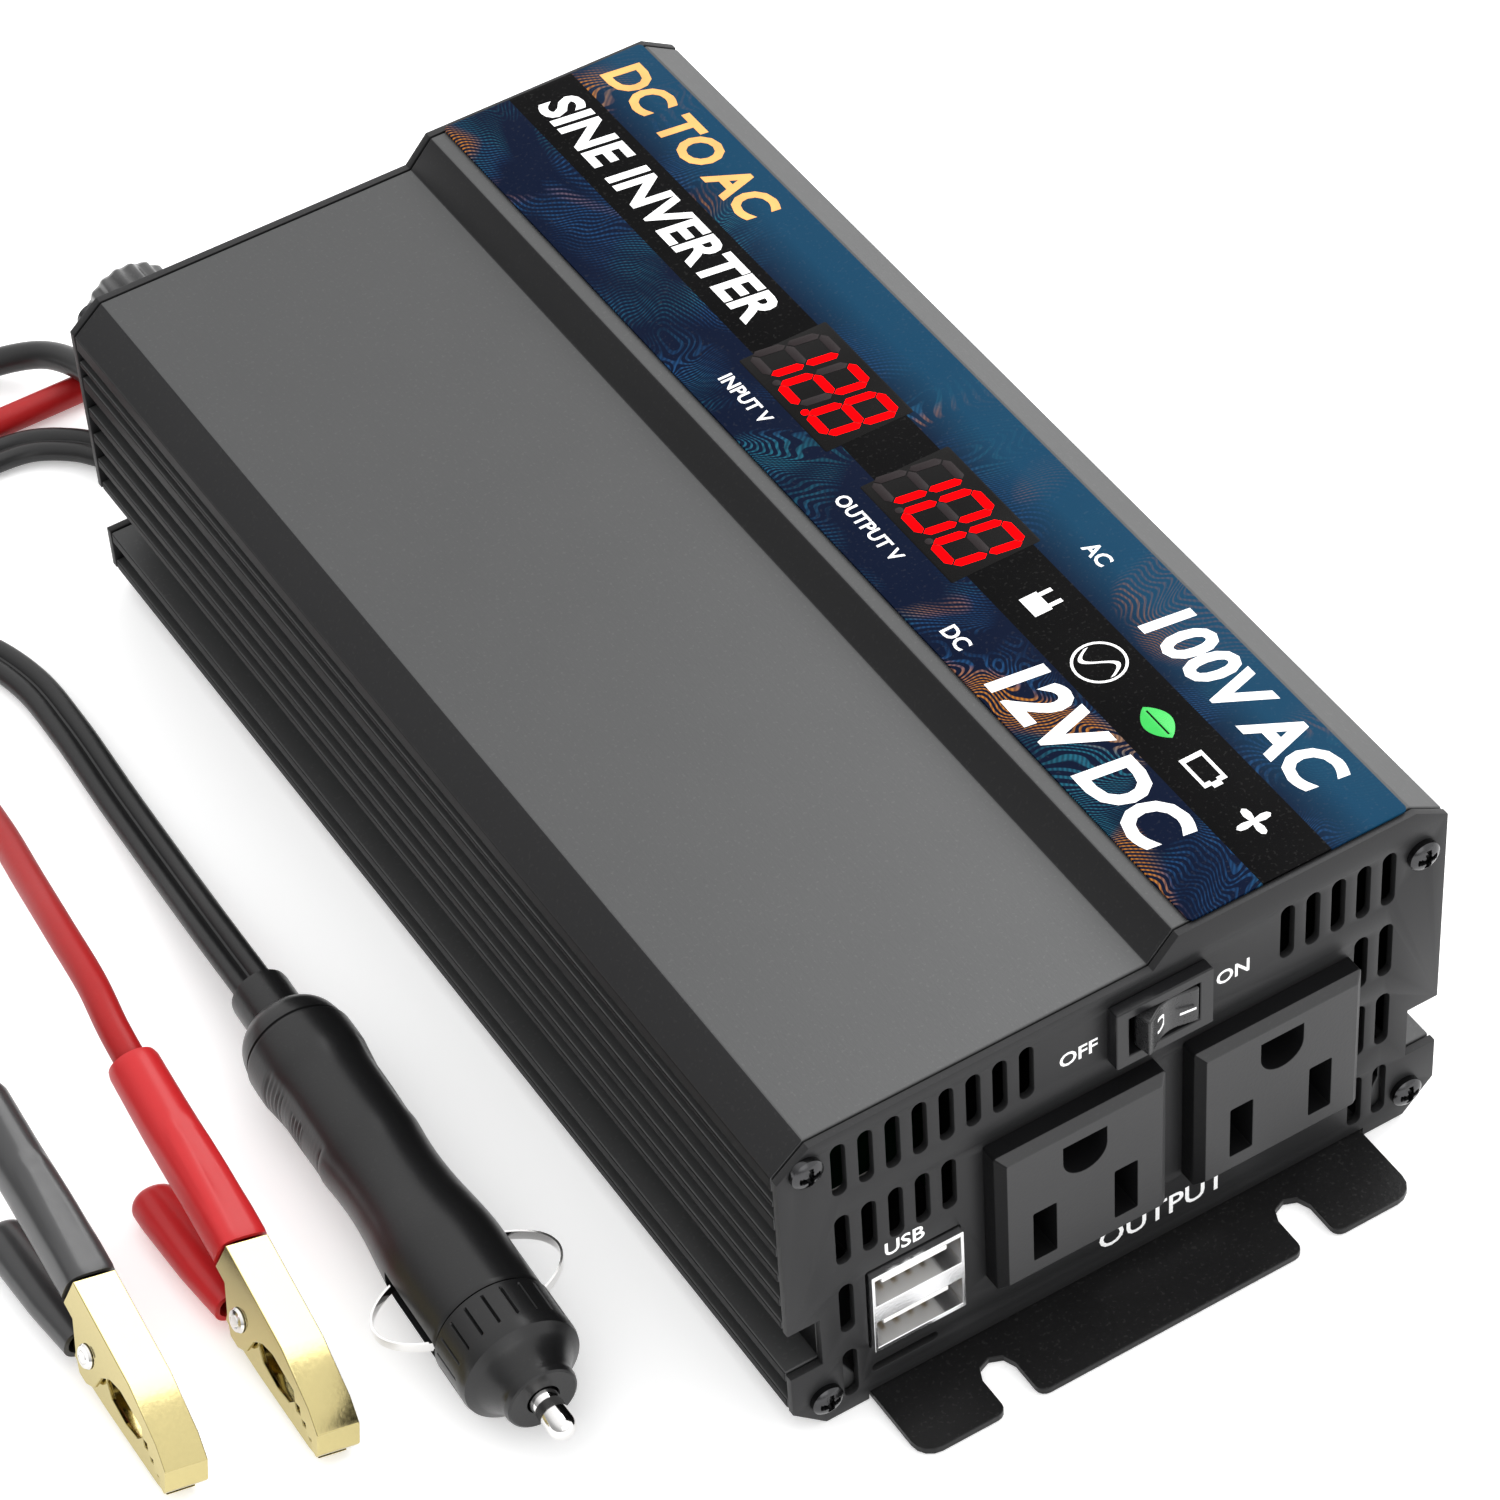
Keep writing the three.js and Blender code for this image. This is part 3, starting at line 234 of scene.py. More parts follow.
class Artwork(Effect):
    """The label's picture: dunes of fine lines over a dark blue field, lit in teal, blue and amber.

    Lines = sine of (distance along the label, bent by slow noise). Masks are slow noises as well.
    """

    name = "label_artwork"
    takes = (Socket("Line Pitch", value=0.00085), Socket("Swell", value=0.02))
    gives = (Socket("Colour", "Color"), Socket("Ink"))

    def wire(self) -> None:
        """Bends the coordinates, draws the lines and tints them by place."""
        g, s = self.graph, self.source
        place = g.add("TexCoord").outputs["Object"]
        x, y, _ = (g.add("SeparateXYZ", {0: place}).outputs[i] for i in range(3))
        slow = g.add("TexNoise", {"Vector": place, "Scale": 26.0, "Detail": 2.0,
                                  "Distortion": 1.2}).outputs[0]
        bend = g.math("MULTIPLY", g.math("SUBTRACT", slow, 0.5), s["Swell"])
        along = g.math("ADD", g.math("ADD", y, g.math("MULTIPLY", x, 0.55)), g.math("MULTIPLY", bend, 2.2))
        wave = g.math("SINE", g.math("DIVIDE", g.math("MULTIPLY", along, math.tau), s["Line Pitch"]))
        across = g.math("ADD", g.math("SUBTRACT", x, g.math("MULTIPLY", y, 0.3)), bend)
        beads = g.math("SINE", g.math("DIVIDE", g.math("MULTIPLY", across, math.tau),
                                      g.math("MULTIPLY", s["Line Pitch"], 0.8)))
        line = g.ramp(g.math("ADD", g.math("MULTIPLY", wave, 0.5), 0.5), [(0.55, 0.0), (0.8, 1.0)])
        bead = g.math("ADD", g.math("MULTIPLY", beads, 0.3), 0.7)
        dune = g.add("TexNoise", {"Vector": place, "Scale": 34.0, "Detail": 1.0,
                                  "Distortion": 2.0}).outputs[0]
        crest = g.ramp(dune, [(0.42, 0.0), (0.58, 1.0)])
        tint_noise = g.add("TexNoise",
                           {"Vector": place, "Scale": 48.0, "Detail": 1.0, "Distortion": 0.6}).outputs[0]
        teal = g.ramp(tint_noise, [(0.46, 0.0), (0.62, 1.0)])
        amber_noise = g.add("TexNoise",
                            {"Vector": place, "Scale": 31.0, "Detail": 0.0, "Distortion": 1.6}).outputs[0]
        amber = g.ramp(amber_noise, [(0.58, 0.0), (0.68, 1.0)])
        inks = g.mix(teal, (0.012, 0.06, 0.16, 1), (0.015, 0.13, 0.19, 1))
        inks = g.mix(amber, inks, (0.55, 0.2, 0.02, 1))
        sky = g.math("DIVIDE", g.math("SUBTRACT", x, 0.0325), 0.008, clamp=True)
        field_colour = g.mix(sky, (0.002, 0.006, 0.022, 1), (0.004, 0.04, 0.085, 1))
        ink = g.math("MULTIPLY", g.math("MULTIPLY", line, bead), g.math("MULTIPLY", crest, 0.8), clamp=True)
        ink = g.math("MULTIPLY", ink, g.math("SUBTRACT", 1.0, g.math("MULTIPLY", sky, 0.9)))
        self.give("Colour", g.mix(ink, field_colour, inks))
        self.give("Ink", ink)


class Effects:
    """The node groups, each built once."""

    def __init__(self) -> None:
        """Builds the three groups."""
        self.grain = Grain()
        self.dust = Dust()
        self.artwork = Artwork()


@dataclass(frozen=True)
class Finish:
    """A moulded, drawn or plated surface.

    The colour is linear. The scale is that of the grain per metre, and the depth is the relief in metres.
    """

    name: str
    colour: Point
    roughness: float = 0.5
    metallic: float = 0.0
    spread: float = 0.15
    scale: float = 2500.0
    stretch: Point = (1.0, 1.0, 1.0)
    rough_spread: float = 0.12
    depth: float = 0.00001
    dust: float = 0.02
    coat: float = 0.0
    coat_roughness: float = 0.1
    specular: float = 0.5
    anisotropy: float = 0.0

    def make(self, effects: Effects) -> bpy.types.Material:
        """Args: effects: the shared groups. Returns: the material."""
        material, graph, shader = blank_material(self.name)
        grain = effects.grain.use(
            graph, Base=(*self.colour, 1), Spread=self.spread, Scale=self.scale, Stretch=self.stretch,
            Roughness=self.roughness, Roughness_Spread=self.rough_spread, Depth=self.depth)
        dust = effects.dust.use(
            graph, Colour=grain.outputs["Colour"], Roughness=grain.outputs["Roughness"], Amount=self.dust)
        graph.tree.links.new(dust.outputs["Colour"], shader.inputs["Base Color"])
        graph.tree.links.new(dust.outputs["Roughness"], shader.inputs["Roughness"])
        graph.tree.links.new(grain.outputs["Normal"], shader.inputs["Normal"])
        shader.inputs["Metallic"].default_value = self.metallic
        shader.inputs["Coat Weight"].default_value = self.coat
        shader.inputs["Coat Roughness"].default_value = self.coat_roughness
        shader.inputs["Specular IOR Level"].default_value = self.specular
        shader.inputs["Anisotropic"].default_value = self.anisotropy
        return material


def blank_material(name: str) -> tuple[bpy.types.Material, Graph, bpy.types.Node]:
    """Args: name: the finish. Returns: the material, its graph and its Principled shader."""
    material = bpy.data.materials.new(name)
    material.use_nodes = True
    return material, Graph(material.node_tree), material.node_tree.nodes["Principled BSDF"]


@dataclass(frozen=True)
class PrintedLabel:
    """The label: a matt printed picture, with a black band down its middle."""

    name: str = "label_print"
    band: Pair = (22.7, 33.5)
    roughness: float = 0.32

    def make(self, effects: Effects) -> bpy.types.Material:
        """Args: effects: the shared groups. Returns: the material."""
        material, graph, shader = blank_material(self.name)
        art = effects.artwork.use(graph)
        place = graph.add("TexCoord").outputs["Object"]
        x = graph.add("SeparateXYZ", {0: place}).outputs[0]
        after = graph.math("GREATER_THAN", x, self.band[0] * MM)
        before = graph.math("LESS_THAN", x, self.band[1] * MM)
        colour = graph.mix(graph.math("MULTIPLY", after, before), art.outputs["Colour"],
                           (0.0015, 0.0015, 0.0018, 1))
        dust = effects.dust.use(graph, Colour=colour, Roughness=self.roughness, Amount=0.01)
        graph.tree.links.new(dust.outputs["Colour"], shader.inputs["Base Color"])
        graph.tree.links.new(dust.outputs["Roughness"], shader.inputs["Roughness"])
        shader.inputs["Specular IOR Level"].default_value = 0.015
        return material


@dataclass(frozen=True)
class Glow:
    """A lit display segment, its glow varied by a fine grain."""

    name: str
    colour: Point
    strength: float

    def make(self, effects: Effects) -> bpy.types.Material:
        """Args: effects: the shared groups. Returns: the material."""
        material, graph, shader = blank_material(self.name)
        grain = effects.grain.use(graph, Base=(*self.colour, 1), Spread=0.15, Scale=900.0, Roughness=0.4)
        graph.tree.links.new(grain.outputs["Colour"], shader.inputs["Base Color"])
        graph.tree.links.new(grain.outputs["Colour"], shader.inputs["Emission Color"])
        shader.inputs["Emission Strength"].default_value = self.strength
        shader.inputs["Specular IOR Level"].default_value = 0.0
        return material


class Look(Enum):
    """The finishes of the object, by what they are on."""

    CASE = Finish("anodised_grey", (0.072, 0.073, 0.074), 0.5, 0.55, 0.1, 3200, (1, 0.25, 1), 0.07, 1.2e-5,
                  0.02,
                  specular=0.4)
    # Painted shade: a darker copy of the case grey for faces that lean left, away from the light.
    CASE_PAINTED_SHADE = Finish("anodised_painted_shade", (0.022, 0.022, 0.023), 0.5, 0.55, 0.1, 3200, (1, 0.25, 1), 0.07,
                        1.2e-5, 0.01,
                        specular=0.2)
    # Painted deep shade: a near-black copy of the case grey for faces that look down or to either side, such
    # as the side fins.
    CASE_PAINTED_DEEP_SHADE = Finish("anodised_painted_deep_shade", (0.006, 0.006, 0.0065), 0.5, 0.4, 0.1, 3200, (1, 0.25, 1), 0.07,
                       1.2e-5, 0.0,
                       specular=0.06)
    # Painted shade: a darker copy of the case grey for the end panels, for the shade on the end faces.
    PANEL = Finish("anodised_panel_painted_shade", (0.026, 0.026, 0.027), 0.5, 0.5, 0.1, 3600, (1, 1, 1), 0.06, 1.2e-5,
                   0.01,
                   specular=0.25)
    FOOT = Finish("foot_powder_coat", (0.006, 0.006, 0.0065), 0.34, 0.0, 0.3, 1500, depth=3e-5, dust=0.015,
                  specular=0.2)
    SCREW = Finish("screw_dark_nickel", (0.06, 0.06, 0.062), 0.2, 1.0, 0.2, 4000, rough_spread=0.2, dust=0.0)
    BOARD = Finish("board_solder_mask", (0.01, 0.085, 0.03), 0.4, 0.0, 0.3, 800)
    OUTLET = Finish("outlet_moulding", (0.034, 0.034, 0.035), 0.5, 0.0, 0.2, 2200, depth=2.5e-5, dust=0.01,
                    specular=0.25)
    # Painted shade: a near-black copy of the outlet moulding for its sides and its faces that lean left.
    OUTLET_PAINTED_SIDE_SHADE = Finish("outlet_painted_side_shade", (0.006, 0.006, 0.0065), 0.5, 0.0, 0.2, 2200, depth=2.5e-5, dust=0.0,
                         specular=0.1)
    USB_TIN = Finish("usb_tin_plate", (0.82, 0.82, 0.83), 0.2, 1.0, 0.1, 3000, (1, 0.1, 1), dust=0.0)
    USB_TONGUE = Finish("usb_tongue_white", (0.88, 0.87, 0.84), 0.4)
    SWITCH = Finish("switch_black", (0.008, 0.008, 0.009), 0.32, 0.0, 0.2, 2500, depth=8e-6, dust=0.005,
                    specular=0.3)
    ROCKER = Finish("rocker_black", (0.02, 0.02, 0.021), 0.28, 0.0, 0.15, 2500, depth=6e-6, dust=0.005,
                    specular=0.35)
    INK_WHITE = Finish("ink_white", (0.98, 0.98, 0.98), 0.5, 0.0, 0.05, 1500, depth=2e-6, dust=0.0)
    INK_AMBER = Finish("ink_amber", (0.9, 0.4, 0.1), 0.35, 0.0, 0.5, 300, depth=2e-6, dust=0.0)
    INK_GREEN = Finish("ink_green", (0.01, 0.5, 0.06), 0.4, 0.0, 0.2, 900, depth=2e-6, dust=0.0)
    DISPLAY = Finish("display_window", (0.0015, 0.0012, 0.0012), 0.35, 0.0, 0.2, 900, depth=2e-6,
                     dust=0.002, specular=0.06)
    UNLIT = Finish("display_unlit", (0.017, 0.012, 0.013), 0.4, 0.0, 0.15, 900, depth=2e-6, dust=0.0,
                   specular=0.1)
    FERRITE = Finish("ferrite", (0.03, 0.03, 0.033), 0.7, 0.0, 0.4, 1800, depth=4e-5)
    COPPER = Finish("winding_copper", (0.45, 0.14, 0.05), 0.32, 0.9, 0.3, 900, (0.2, 0.2, 6), depth=8e-5,
                    dust=0.0)
    SLEEVE = Finish("capacitor_sleeve", (0.01, 0.011, 0.014), 0.3, coat=0.3)
    FAN = Finish("fan_black", (0.016, 0.016, 0.017), 0.42)
    POST_RED = Finish("post_red", (0.5, 0.012, 0.012), 0.32, coat=0.2)
    POST_BLACK = Finish("post_black", (0.016, 0.016, 0.017), 0.32, coat=0.2)
    BRASS = Finish("stud_brass", (0.62, 0.42, 0.14), 0.28, 1.0, 0.15, 2500)
    TIN = Finish("terminal_tin", (0.56, 0.56, 0.57), 0.3, 1.0, 0.15, 2500)
    LEAD_RED = Finish("lead_red", (0.36, 0.006, 0.007), 0.42, 0.0, 0.12, 1400, depth=1.5e-5, dust=0.005,
                      specular=0.3)
    LEAD_BLACK = Finish("lead_black", (0.009, 0.009, 0.0095), 0.36, 0.0, 0.15, 1400, depth=1.5e-5,
                        dust=0.005, specular=0.4)
    PLUG = Finish("plug_black", (0.009, 0.009, 0.0095), 0.32, 0.0, 0.15, 2800, depth=1.2e-5, dust=0.005,
                  specular=0.4)
    NICKEL = Finish("nickel_bright", (0.74, 0.73, 0.72), 0.1, 1.0, 0.05, 2500, depth=2e-6, dust=0.0)
    GOLD = Finish("clamp_brass_plate", (0.5, 0.425, 0.2), 0.12, 1.0, 0.1, 1800, depth=3e-6, dust=0.0)
    SLEEVE_RED = Finish("grip_red", (0.52, 0.018, 0.021), 0.36, 0.0, 0.06, 700, depth=1e-5, dust=0.0,
                        coat=0.05, specular=0.3)
    SLEEVE_BLACK = Finish("grip_black", (0.03, 0.03, 0.031), 0.34, 0.0, 0.1, 700, depth=1e-5, dust=0.0,
                          coat=0.15)
    LABEL = PrintedLabel()
    LIT = Glow("display_lit", (1.0, 0.001, 0.002), 1.25)


class Wardrobe:
    """Hands out each finish as one material, made when it is first asked for."""

    def __init__(self) -> None:
        """Builds the shared effects."""
        self.effects = Effects()
        self.made: dict[Look, bpy.types.Material] = {}

    def material(self, look: Look) -> bpy.types.Material:
        """Args: look: the finish. Returns: its material."""
        if look not in self.made:
            self.made[look] = look.value.make(self.effects)
        return self.made[look]

    def dress(self, piece: bpy.types.Object, look: Look) -> bpy.types.Object:
        """Args: piece: any object; look: its finish. Returns: the piece."""
        if piece.type == "MESH" and len(piece.material_slots):
            for entry in piece.material_slots:
                entry.material = self.material(look)
        else:
            piece.data.materials.append(self.material(look))
        return piece


WARDROBE = Wardrobe()


# ------------------------------------------------------------------ shapes
def metres(points: np.ndarray, place: Matrix | None = None) -> np.ndarray:
    """Puts points in millimetres in place and turns them into metres.

    Args:
        points: any number of points, in the last axis.
        place: where the local axes lie, in millimetres.

    Returns:
        The points as rows, in metres.
    """
    rows = np.asarray(points, dtype=float).reshape(-1, 3)
    if place is not None:
        turn = np.array(place.to_3x3())
        rows = rows @ turn.T + np.array(place.translation)
    return rows * MM


def axes(x: Sequence[float], y: Sequence[float], z: Sequence[float], origin: Sequence[float]) -> Matrix:
    """Args: x, y, z: the local axes; origin: where they meet. Returns: the placing matrix."""
    columns = [Vector(x), Vector(y), Vector(z), Vector(origin)]
    rows = [[column[i] for column in columns] for i in range(3)]
    return Matrix([*rows, [0, 0, 0, 1]])


UPRIGHT_FRONT = ((1, 0, 0), (0, 0, 1), (0, -1, 0))
UPRIGHT_REAR = ((-1, 0, 0), (0, 0, 1), (0, 1, 0))


def grid_faces(rows: int, columns: int, wrap: bool = True) -> np.ndarray:
    """Quads between the points of a grid.

    Args:
        rows: how many rows of points.
        columns: how many points in a row.
        wrap: joins the last column to the first.

    Returns:
        One row of four point numbers for each quad.
    """
    r = np.arange(rows - 1)[:, None] * columns
    c = np.arange(columns if wrap else columns - 1)[None, :]
    near, far = r + c, r + (c + 1) % columns
    return np.stack([near, far, far + columns, near + columns], axis=-1).reshape(-1, 4)


def solid(name: str, points: np.ndarray, faces: Iterable[Sequence[int]],
          smooth: float = 32.0) -> bpy.types.Object:
    """Makes a closed mesh object, its doubles merged and its faces turned outward.

    Args:
        name: the piece's name.
        points: rows of x, y, z in metres.
        faces: the point numbers of each face.
        smooth: the edge angle in degrees up to which shading is smooth.

    Returns:
        The object, at the origin.
    """
    mesh = bpy.data.meshes.new(name)
    mesh.from_pydata(points.tolist(), [], [list(map(int, face)) for face in faces])
    return piece_from(name, mesh, smooth)


def piece_from(name: str, mesh: bpy.types.Mesh, smooth: float = 32.0,
               merge: float = 1e-6) -> bpy.types.Object:
    """Args: name: the piece's name; mesh: its mesh, cleaned here. Returns: the object."""
    work = bmesh.new()
    work.from_mesh(mesh)
    bmesh.ops.remove_doubles(work, verts=work.verts, dist=merge)
    bmesh.ops.dissolve_degenerate(work, edges=work.edges, dist=merge)
    bmesh.ops.recalc_face_normals(work, faces=work.faces)
    work.to_mesh(mesh)
    work.free()
    mesh.shade_smooth()
    mesh.set_sharp_from_angle(angle=math.radians(smooth))
    piece = bpy.data.objects.new(name, mesh)
    bpy.context.scene.collection.objects.link(piece)
    return piece


def rings(name: str, points: np.ndarray, place: Matrix | None = None,
          smooth: float = 32.0) -> bpy.types.Object:
    """Skins a stack of closed rings and caps both ends.

    Args:
        name: the piece's name.
        points: an array of rings, points and coordinates.
        place: where the local axes lie.
        smooth: the smooth shading angle.

    Returns:
        The closed piece.
    """
    rows, columns = points.shape[:2]
    last = (rows - 1) * columns
    caps = [np.arange(columns), last + np.arange(columns)]
    return solid(name, metres(points, place), [*grid_faces(rows, columns), *caps], smooth)


def lathe(profile: Sequence[Pair], segments: int = 48) -> np.ndarray:
    """Revolves a profile about the local z axis: (r cos a, r sin a, z) for each angle a.

    Args:
        profile: (radius, z) pairs.
        segments: how many steps the circle has.

    Returns:
        A grid of points, one ring for each pair.
    """
    pairs = np.array(profile, dtype=float)
    angle = np.arange(segments) * math.tau / segments
    circle = np.stack([np.cos(angle), np.sin(angle)], axis=-1)
    flat = pairs[:, None, :1] * circle[None]
    height = np.broadcast_to(pairs[:, None, 1:], (len(pairs), segments, 1))
    return np.concatenate([flat, height], axis=-1)


def turned(name: str, profile: Sequence[Pair], place: Matrix, segments: int = 48) -> bpy.types.Object:
    """Args: profile: (radius, z) pairs, closed if its ends meet. Returns: the turned piece."""
    points = lathe(profile, segments)
    if profile[0] == profile[-1]:
        return solid(name, metres(points, place), grid_faces(len(profile), segments))
    return rings(name, points, place)


def softened(pairs: Sequence[Pair], steps: int = 6) -> np.ndarray:
    """A smooth Catmull-Rom line through the given pairs, with a set number of steps between two."""
    knots = np.array([(a, b, 0.0) for a, b in pairs])
    return centripetal(knots, steps)[:, :2]


def centripetal(knots: np.ndarray, steps: int) -> np.ndarray:
    """A centripetal Catmull-Rom curve: knots are spaced by the square root of their distance.

    Args:
        knots: the points that it passes through.
        steps: how many points it has from one knot to the next.

    Returns:
        The curve's points, both ends among them.
    """
    ends = np.vstack([2 * knots[0] - knots[1], knots, 2 * knots[-1] - knots[-2]])
    quads = np.stack([ends[i:len(ends) - 3 + i] for i in range(4)])
    gaps = np.sqrt(np.linalg.norm(np.diff(quads, axis=0), axis=-1)) + 1e-9
    tangents = []
    for i in (1, 2):
        before = (quads[i] - quads[i - 1]) / gaps[i - 1][:, None]
        across = (quads[i + 1] - quads[i - 1]) / (gaps[i - 1] + gaps[i])[:, None]
        after = (quads[i + 1] - quads[i]) / gaps[i][:, None]
        tangents.append((before - across + after) * gaps[1][:, None])
    t = (np.arange(steps) / steps)[None, :, None]
    start, end = quads[1][:, None], quads[2][:, None]
    out, into = tangents[0][:, None], tangents[1][:, None]
    curve = ((2 * t**3 - 3 * t**2 + 1) * start + (t**3 - 2 * t**2 + t) * out
             + (3 * t**2 - 2 * t**3) * end + (t**3 - t**2) * into)
    return np.vstack([curve.reshape(-1, 3), knots[-1]])


def level_frames(path: np.ndarray) -> tuple[np.ndarray, np.ndarray]:
    """Two crosswise directions along a path, turned as little as can be from one point to the next.

    Args:
        path: the points of the path.

    Returns:
        The side direction and the upper direction at each point.
    """
    ahead = np.gradient(path, axis=0)
    ahead /= np.linalg.norm(ahead, axis=1)[:, None]
    side = np.cross(ahead[0], (0.0, 0.0, 1.0))
    sides = []
    for tangent in ahead:
        side = side - tangent * side.dot(tangent)
        side = side / np.linalg.norm(side)
        sides.append(side)
    across = np.array(sides)
    return across, np.cross(across, ahead)


def swept(name: str, path: np.ndarray, section: np.ndarray, ease: float = 0.0) -> bpy.types.Object:
    """Carries a closed section along a path: point = path + a · side + b · up.

    Args:
        name: the piece's name.
        path: the points of the path.
        section: (a, b) pairs.
        ease: how much the two end rings are drawn in, to round the ends.

    Returns:
        The closed piece.
    """
    side, up = level_frames(path)
    scale = np.ones(len(path))
    scale[[0, -1]] = 1 - ease
    wide = section[None, :, :1] * side[:, None] + section[None, :, 1:] * up[:, None]
    return rings(name, path[:, None] + wide * scale[:, None, None])


def circle(radius: float, count: int = 20) -> np.ndarray:
    """A round section."""
    angle = np.arange(count) * math.tau / count
    return radius * np.stack([np.cos(angle), np.sin(angle)], axis=-1)


def rounded_square(half: float, height: float, radius: float, corner: int = 6) -> np.ndarray:
    """A rectangle with round corners, centred on zero: each corner is a quarter circle."""
    angle = np.linspace(0, math.pi / 2, corner)
    parts = []
    for quarter, (a, b) in enumerate([(1, 1), (-1, 1), (-1, -1), (1, -1)]):
        turn = angle + quarter * math.pi / 2
        middle = np.array([a * (half - radius), b * (height - radius)])
        parts.append(middle + radius * np.stack([np.cos(turn), np.sin(turn)], axis=-1))
    return np.vstack(parts)


def from_curve(name: str, curve: bpy.types.Curve, place: Matrix, smooth: float = 32.0) -> bpy.types.Object:
    """Turns a flat curve or lettering into a mesh and puts it in place.

    Args:
        name: the piece's name.
        curve: the curve, in millimetres.
        place: where its local axes lie.
        smooth: the smooth shading angle.

    Returns:
        The mesh object, at the origin.
    """
    holder = bpy.data.objects.new(name + "_outline", curve)
    bpy.context.scene.collection.objects.link(holder)
    graph = bpy.context.evaluated_depsgraph_get()
    mesh = bpy.data.meshes.new_from_object(holder.evaluated_get(graph))
    bpy.data.objects.remove(holder)
    bpy.data.curves.remove(curve)
    count = len(mesh.vertices)
    points = np.empty(count * 3)
    mesh.vertices.foreach_get("co", points)
    mesh.vertices.foreach_set("co", metres(points, place).ravel())
    mesh.name = name
    mesh.materials.clear()
    return piece_from(name, mesh, smooth)


def plate(name: str, loops: Sequence[np.ndarray], thick: float, place: Matrix,
          ease: float = 0.12) -> bpy.types.Object:
    """A flat plate from an outline and its holes, with eased edges.

    Args:
        name: the piece's name.
        loops: closed lines of (a, b) pairs, the outline and the holes.
        thick: the plate's thickness. It lies half to each side of the local plane.
        place: where the local axes lie.
        ease: the edge radius.

    Returns:
        The plate.
    """
    curve = bpy.data.curves.new(name, "CURVE")
    curve.dimensions = "2D"
    curve.fill_mode = "BOTH"
    curve.extrude = thick / 2 - ease
    curve.bevel_depth = ease
    curve.bevel_resolution = 1
    curve.offset = -ease
    for loop in loops:
        line = curve.splines.new("POLY")
        line.points.add(len(loop) - 1)
        rows = np.column_stack([loop, np.zeros(len(loop)), np.ones(len(loop))])
        line.points.foreach_set("co", rows.ravel())
        line.use_cyclic_u = True
    return from_curve(name, curve, place)


def eased(node: str, width: float = 0.2, segments: int = 2, angle: float = 28.0) -> bpy.types.Object:
    """Copies a CAD node, merges its flat faces and rounds its edges.

    Args:
        node: the CAD node.
        width: the edge's width.
        segments: how many steps the rounding has.
        angle: the edge angle in degrees above which an edge is rounded.

    Returns:
        A new piece that stands for the node.
    """
    mesh = bpy.data.objects[node].data.copy()
    mesh.name = node + "_eased"
    mesh.materials.clear()
    work = bmesh.new()
    work.from_mesh(mesh)
    bmesh.ops.remove_doubles(work, verts=work.verts, dist=2e-6)
    bmesh.ops.dissolve_limit(work, angle_limit=math.radians(1.5), verts=work.verts, edges=work.edges)
    work.to_mesh(mesh)
    work.free()
    piece = bpy.data.objects.new(node + "_eased", mesh)
    bpy.context.scene.collection.objects.link(piece)
    mesh.shade_smooth()
    mesh.set_sharp_from_angle(angle=math.radians(angle))
    bevel = piece.modifiers.new("eased_edges", "BEVEL")
    bevel.width = width * MM
    bevel.segments = segments
    bevel.limit_method = "ANGLE"
    bevel.angle_limit = math.radians(angle)
    bevel.use_clamp_overlap = False
    bevel.harden_normals = True
    return piece


def carved(piece: bpy.types.Object, *cutters: bpy.types.Object) -> bpy.types.Object:
    """Cuts the cutters' shapes out of a piece, for good.

    Args:
        piece: what is cut.
        cutters: closed shapes, used up here.

    Returns:
        The piece, with a new mesh.
    """
    for cutter in cutters:
        step = piece.modifiers.new("cut", "BOOLEAN")
        step.operation = "DIFFERENCE"
        step.solver = "EXACT"
        step.object = cutter
    graph = bpy.context.evaluated_depsgraph_get()
    mesh = bpy.data.meshes.new_from_object(piece.evaluated_get(graph))
    name = piece.name
    bpy.data.objects.remove(piece)
    for cutter in cutters:
        bpy.data.objects.remove(cutter)
    mesh.materials.clear()
    return piece_from(name, mesh)


def block(name: str, low: Point, high: Point, ease: float = 0.0) -> bpy.types.Object:
    """A rectangular block between two corners, its upright edges rounded by ease."""
    (x0, y0, z0), (x1, y1, z1) = low, high
    half, depth = (x1 - x0) / 2, (y1 - y0) / 2
    section = rounded_square(half, depth, max(ease, 1e-4), 4 if ease else 1)
    section = section + np.array([(x0 + x1) / 2, (y0 + y1) / 2])
    stack = [np.column_stack([section, np.full(len(section), z)]) for z in (z0, z1)]
    return rings(name, np.array(stack))


def lettering(name: str, words: str, size: float, place: Matrix, weight: float = 0.0,
              slant: float = 0.0) -> bpy.types.Object:
    """Printed words as a very thin raised layer.

    Args:
        name: the piece's name.
        words: what it says.
        size: the letters' em size.
        place: local x along the words, local y up the letters.
        weight: how far the strokes are fattened.
        slant: the lean of the letters.

    Returns:
        The words.
    """
    curve = bpy.data.curves.new(name, "FONT")
    curve.body = words
    curve.size = size
    curve.extrude = 0.012
    curve.offset = weight
    curve.shear = slant
    curve.resolution_u = 3
    return from_curve(name, curve, place, 60.0)


def install(piece: bpy.types.Object, body: str, look: Look, slot: str, *nodes: str) -> bpy.types.Object:
    """Dresses a piece, makes it ride and hides the CAD nodes that it stands for.

    Args:
        piece: the piece.
        body: the CAD body that it rides on.
        look: its finish.
        slot: not used.
        nodes: the CAD nodes that it stands for.

    Returns:
        The piece.
    """
    WARDROBE.dress(piece, look)
    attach(piece, body)
    if nodes:
        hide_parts(*nodes)
    log.info("%s on %s, %d faces", piece.name, body, len(piece.data.polygons))
    return piece


def dress_node(node: str, look: Look) -> None:
    """Gives a CAD node that stays in sight its finish."""
    WARDROBE.dress(bpy.data.objects[node], look)
    log.info("%s dressed", node)


def middle(node: str) -> Vector:
    """The middle of a CAD node's box, in millimetres."""
    low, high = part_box(node)
    return (Vector(low) + Vector(high)) / 2 / MM


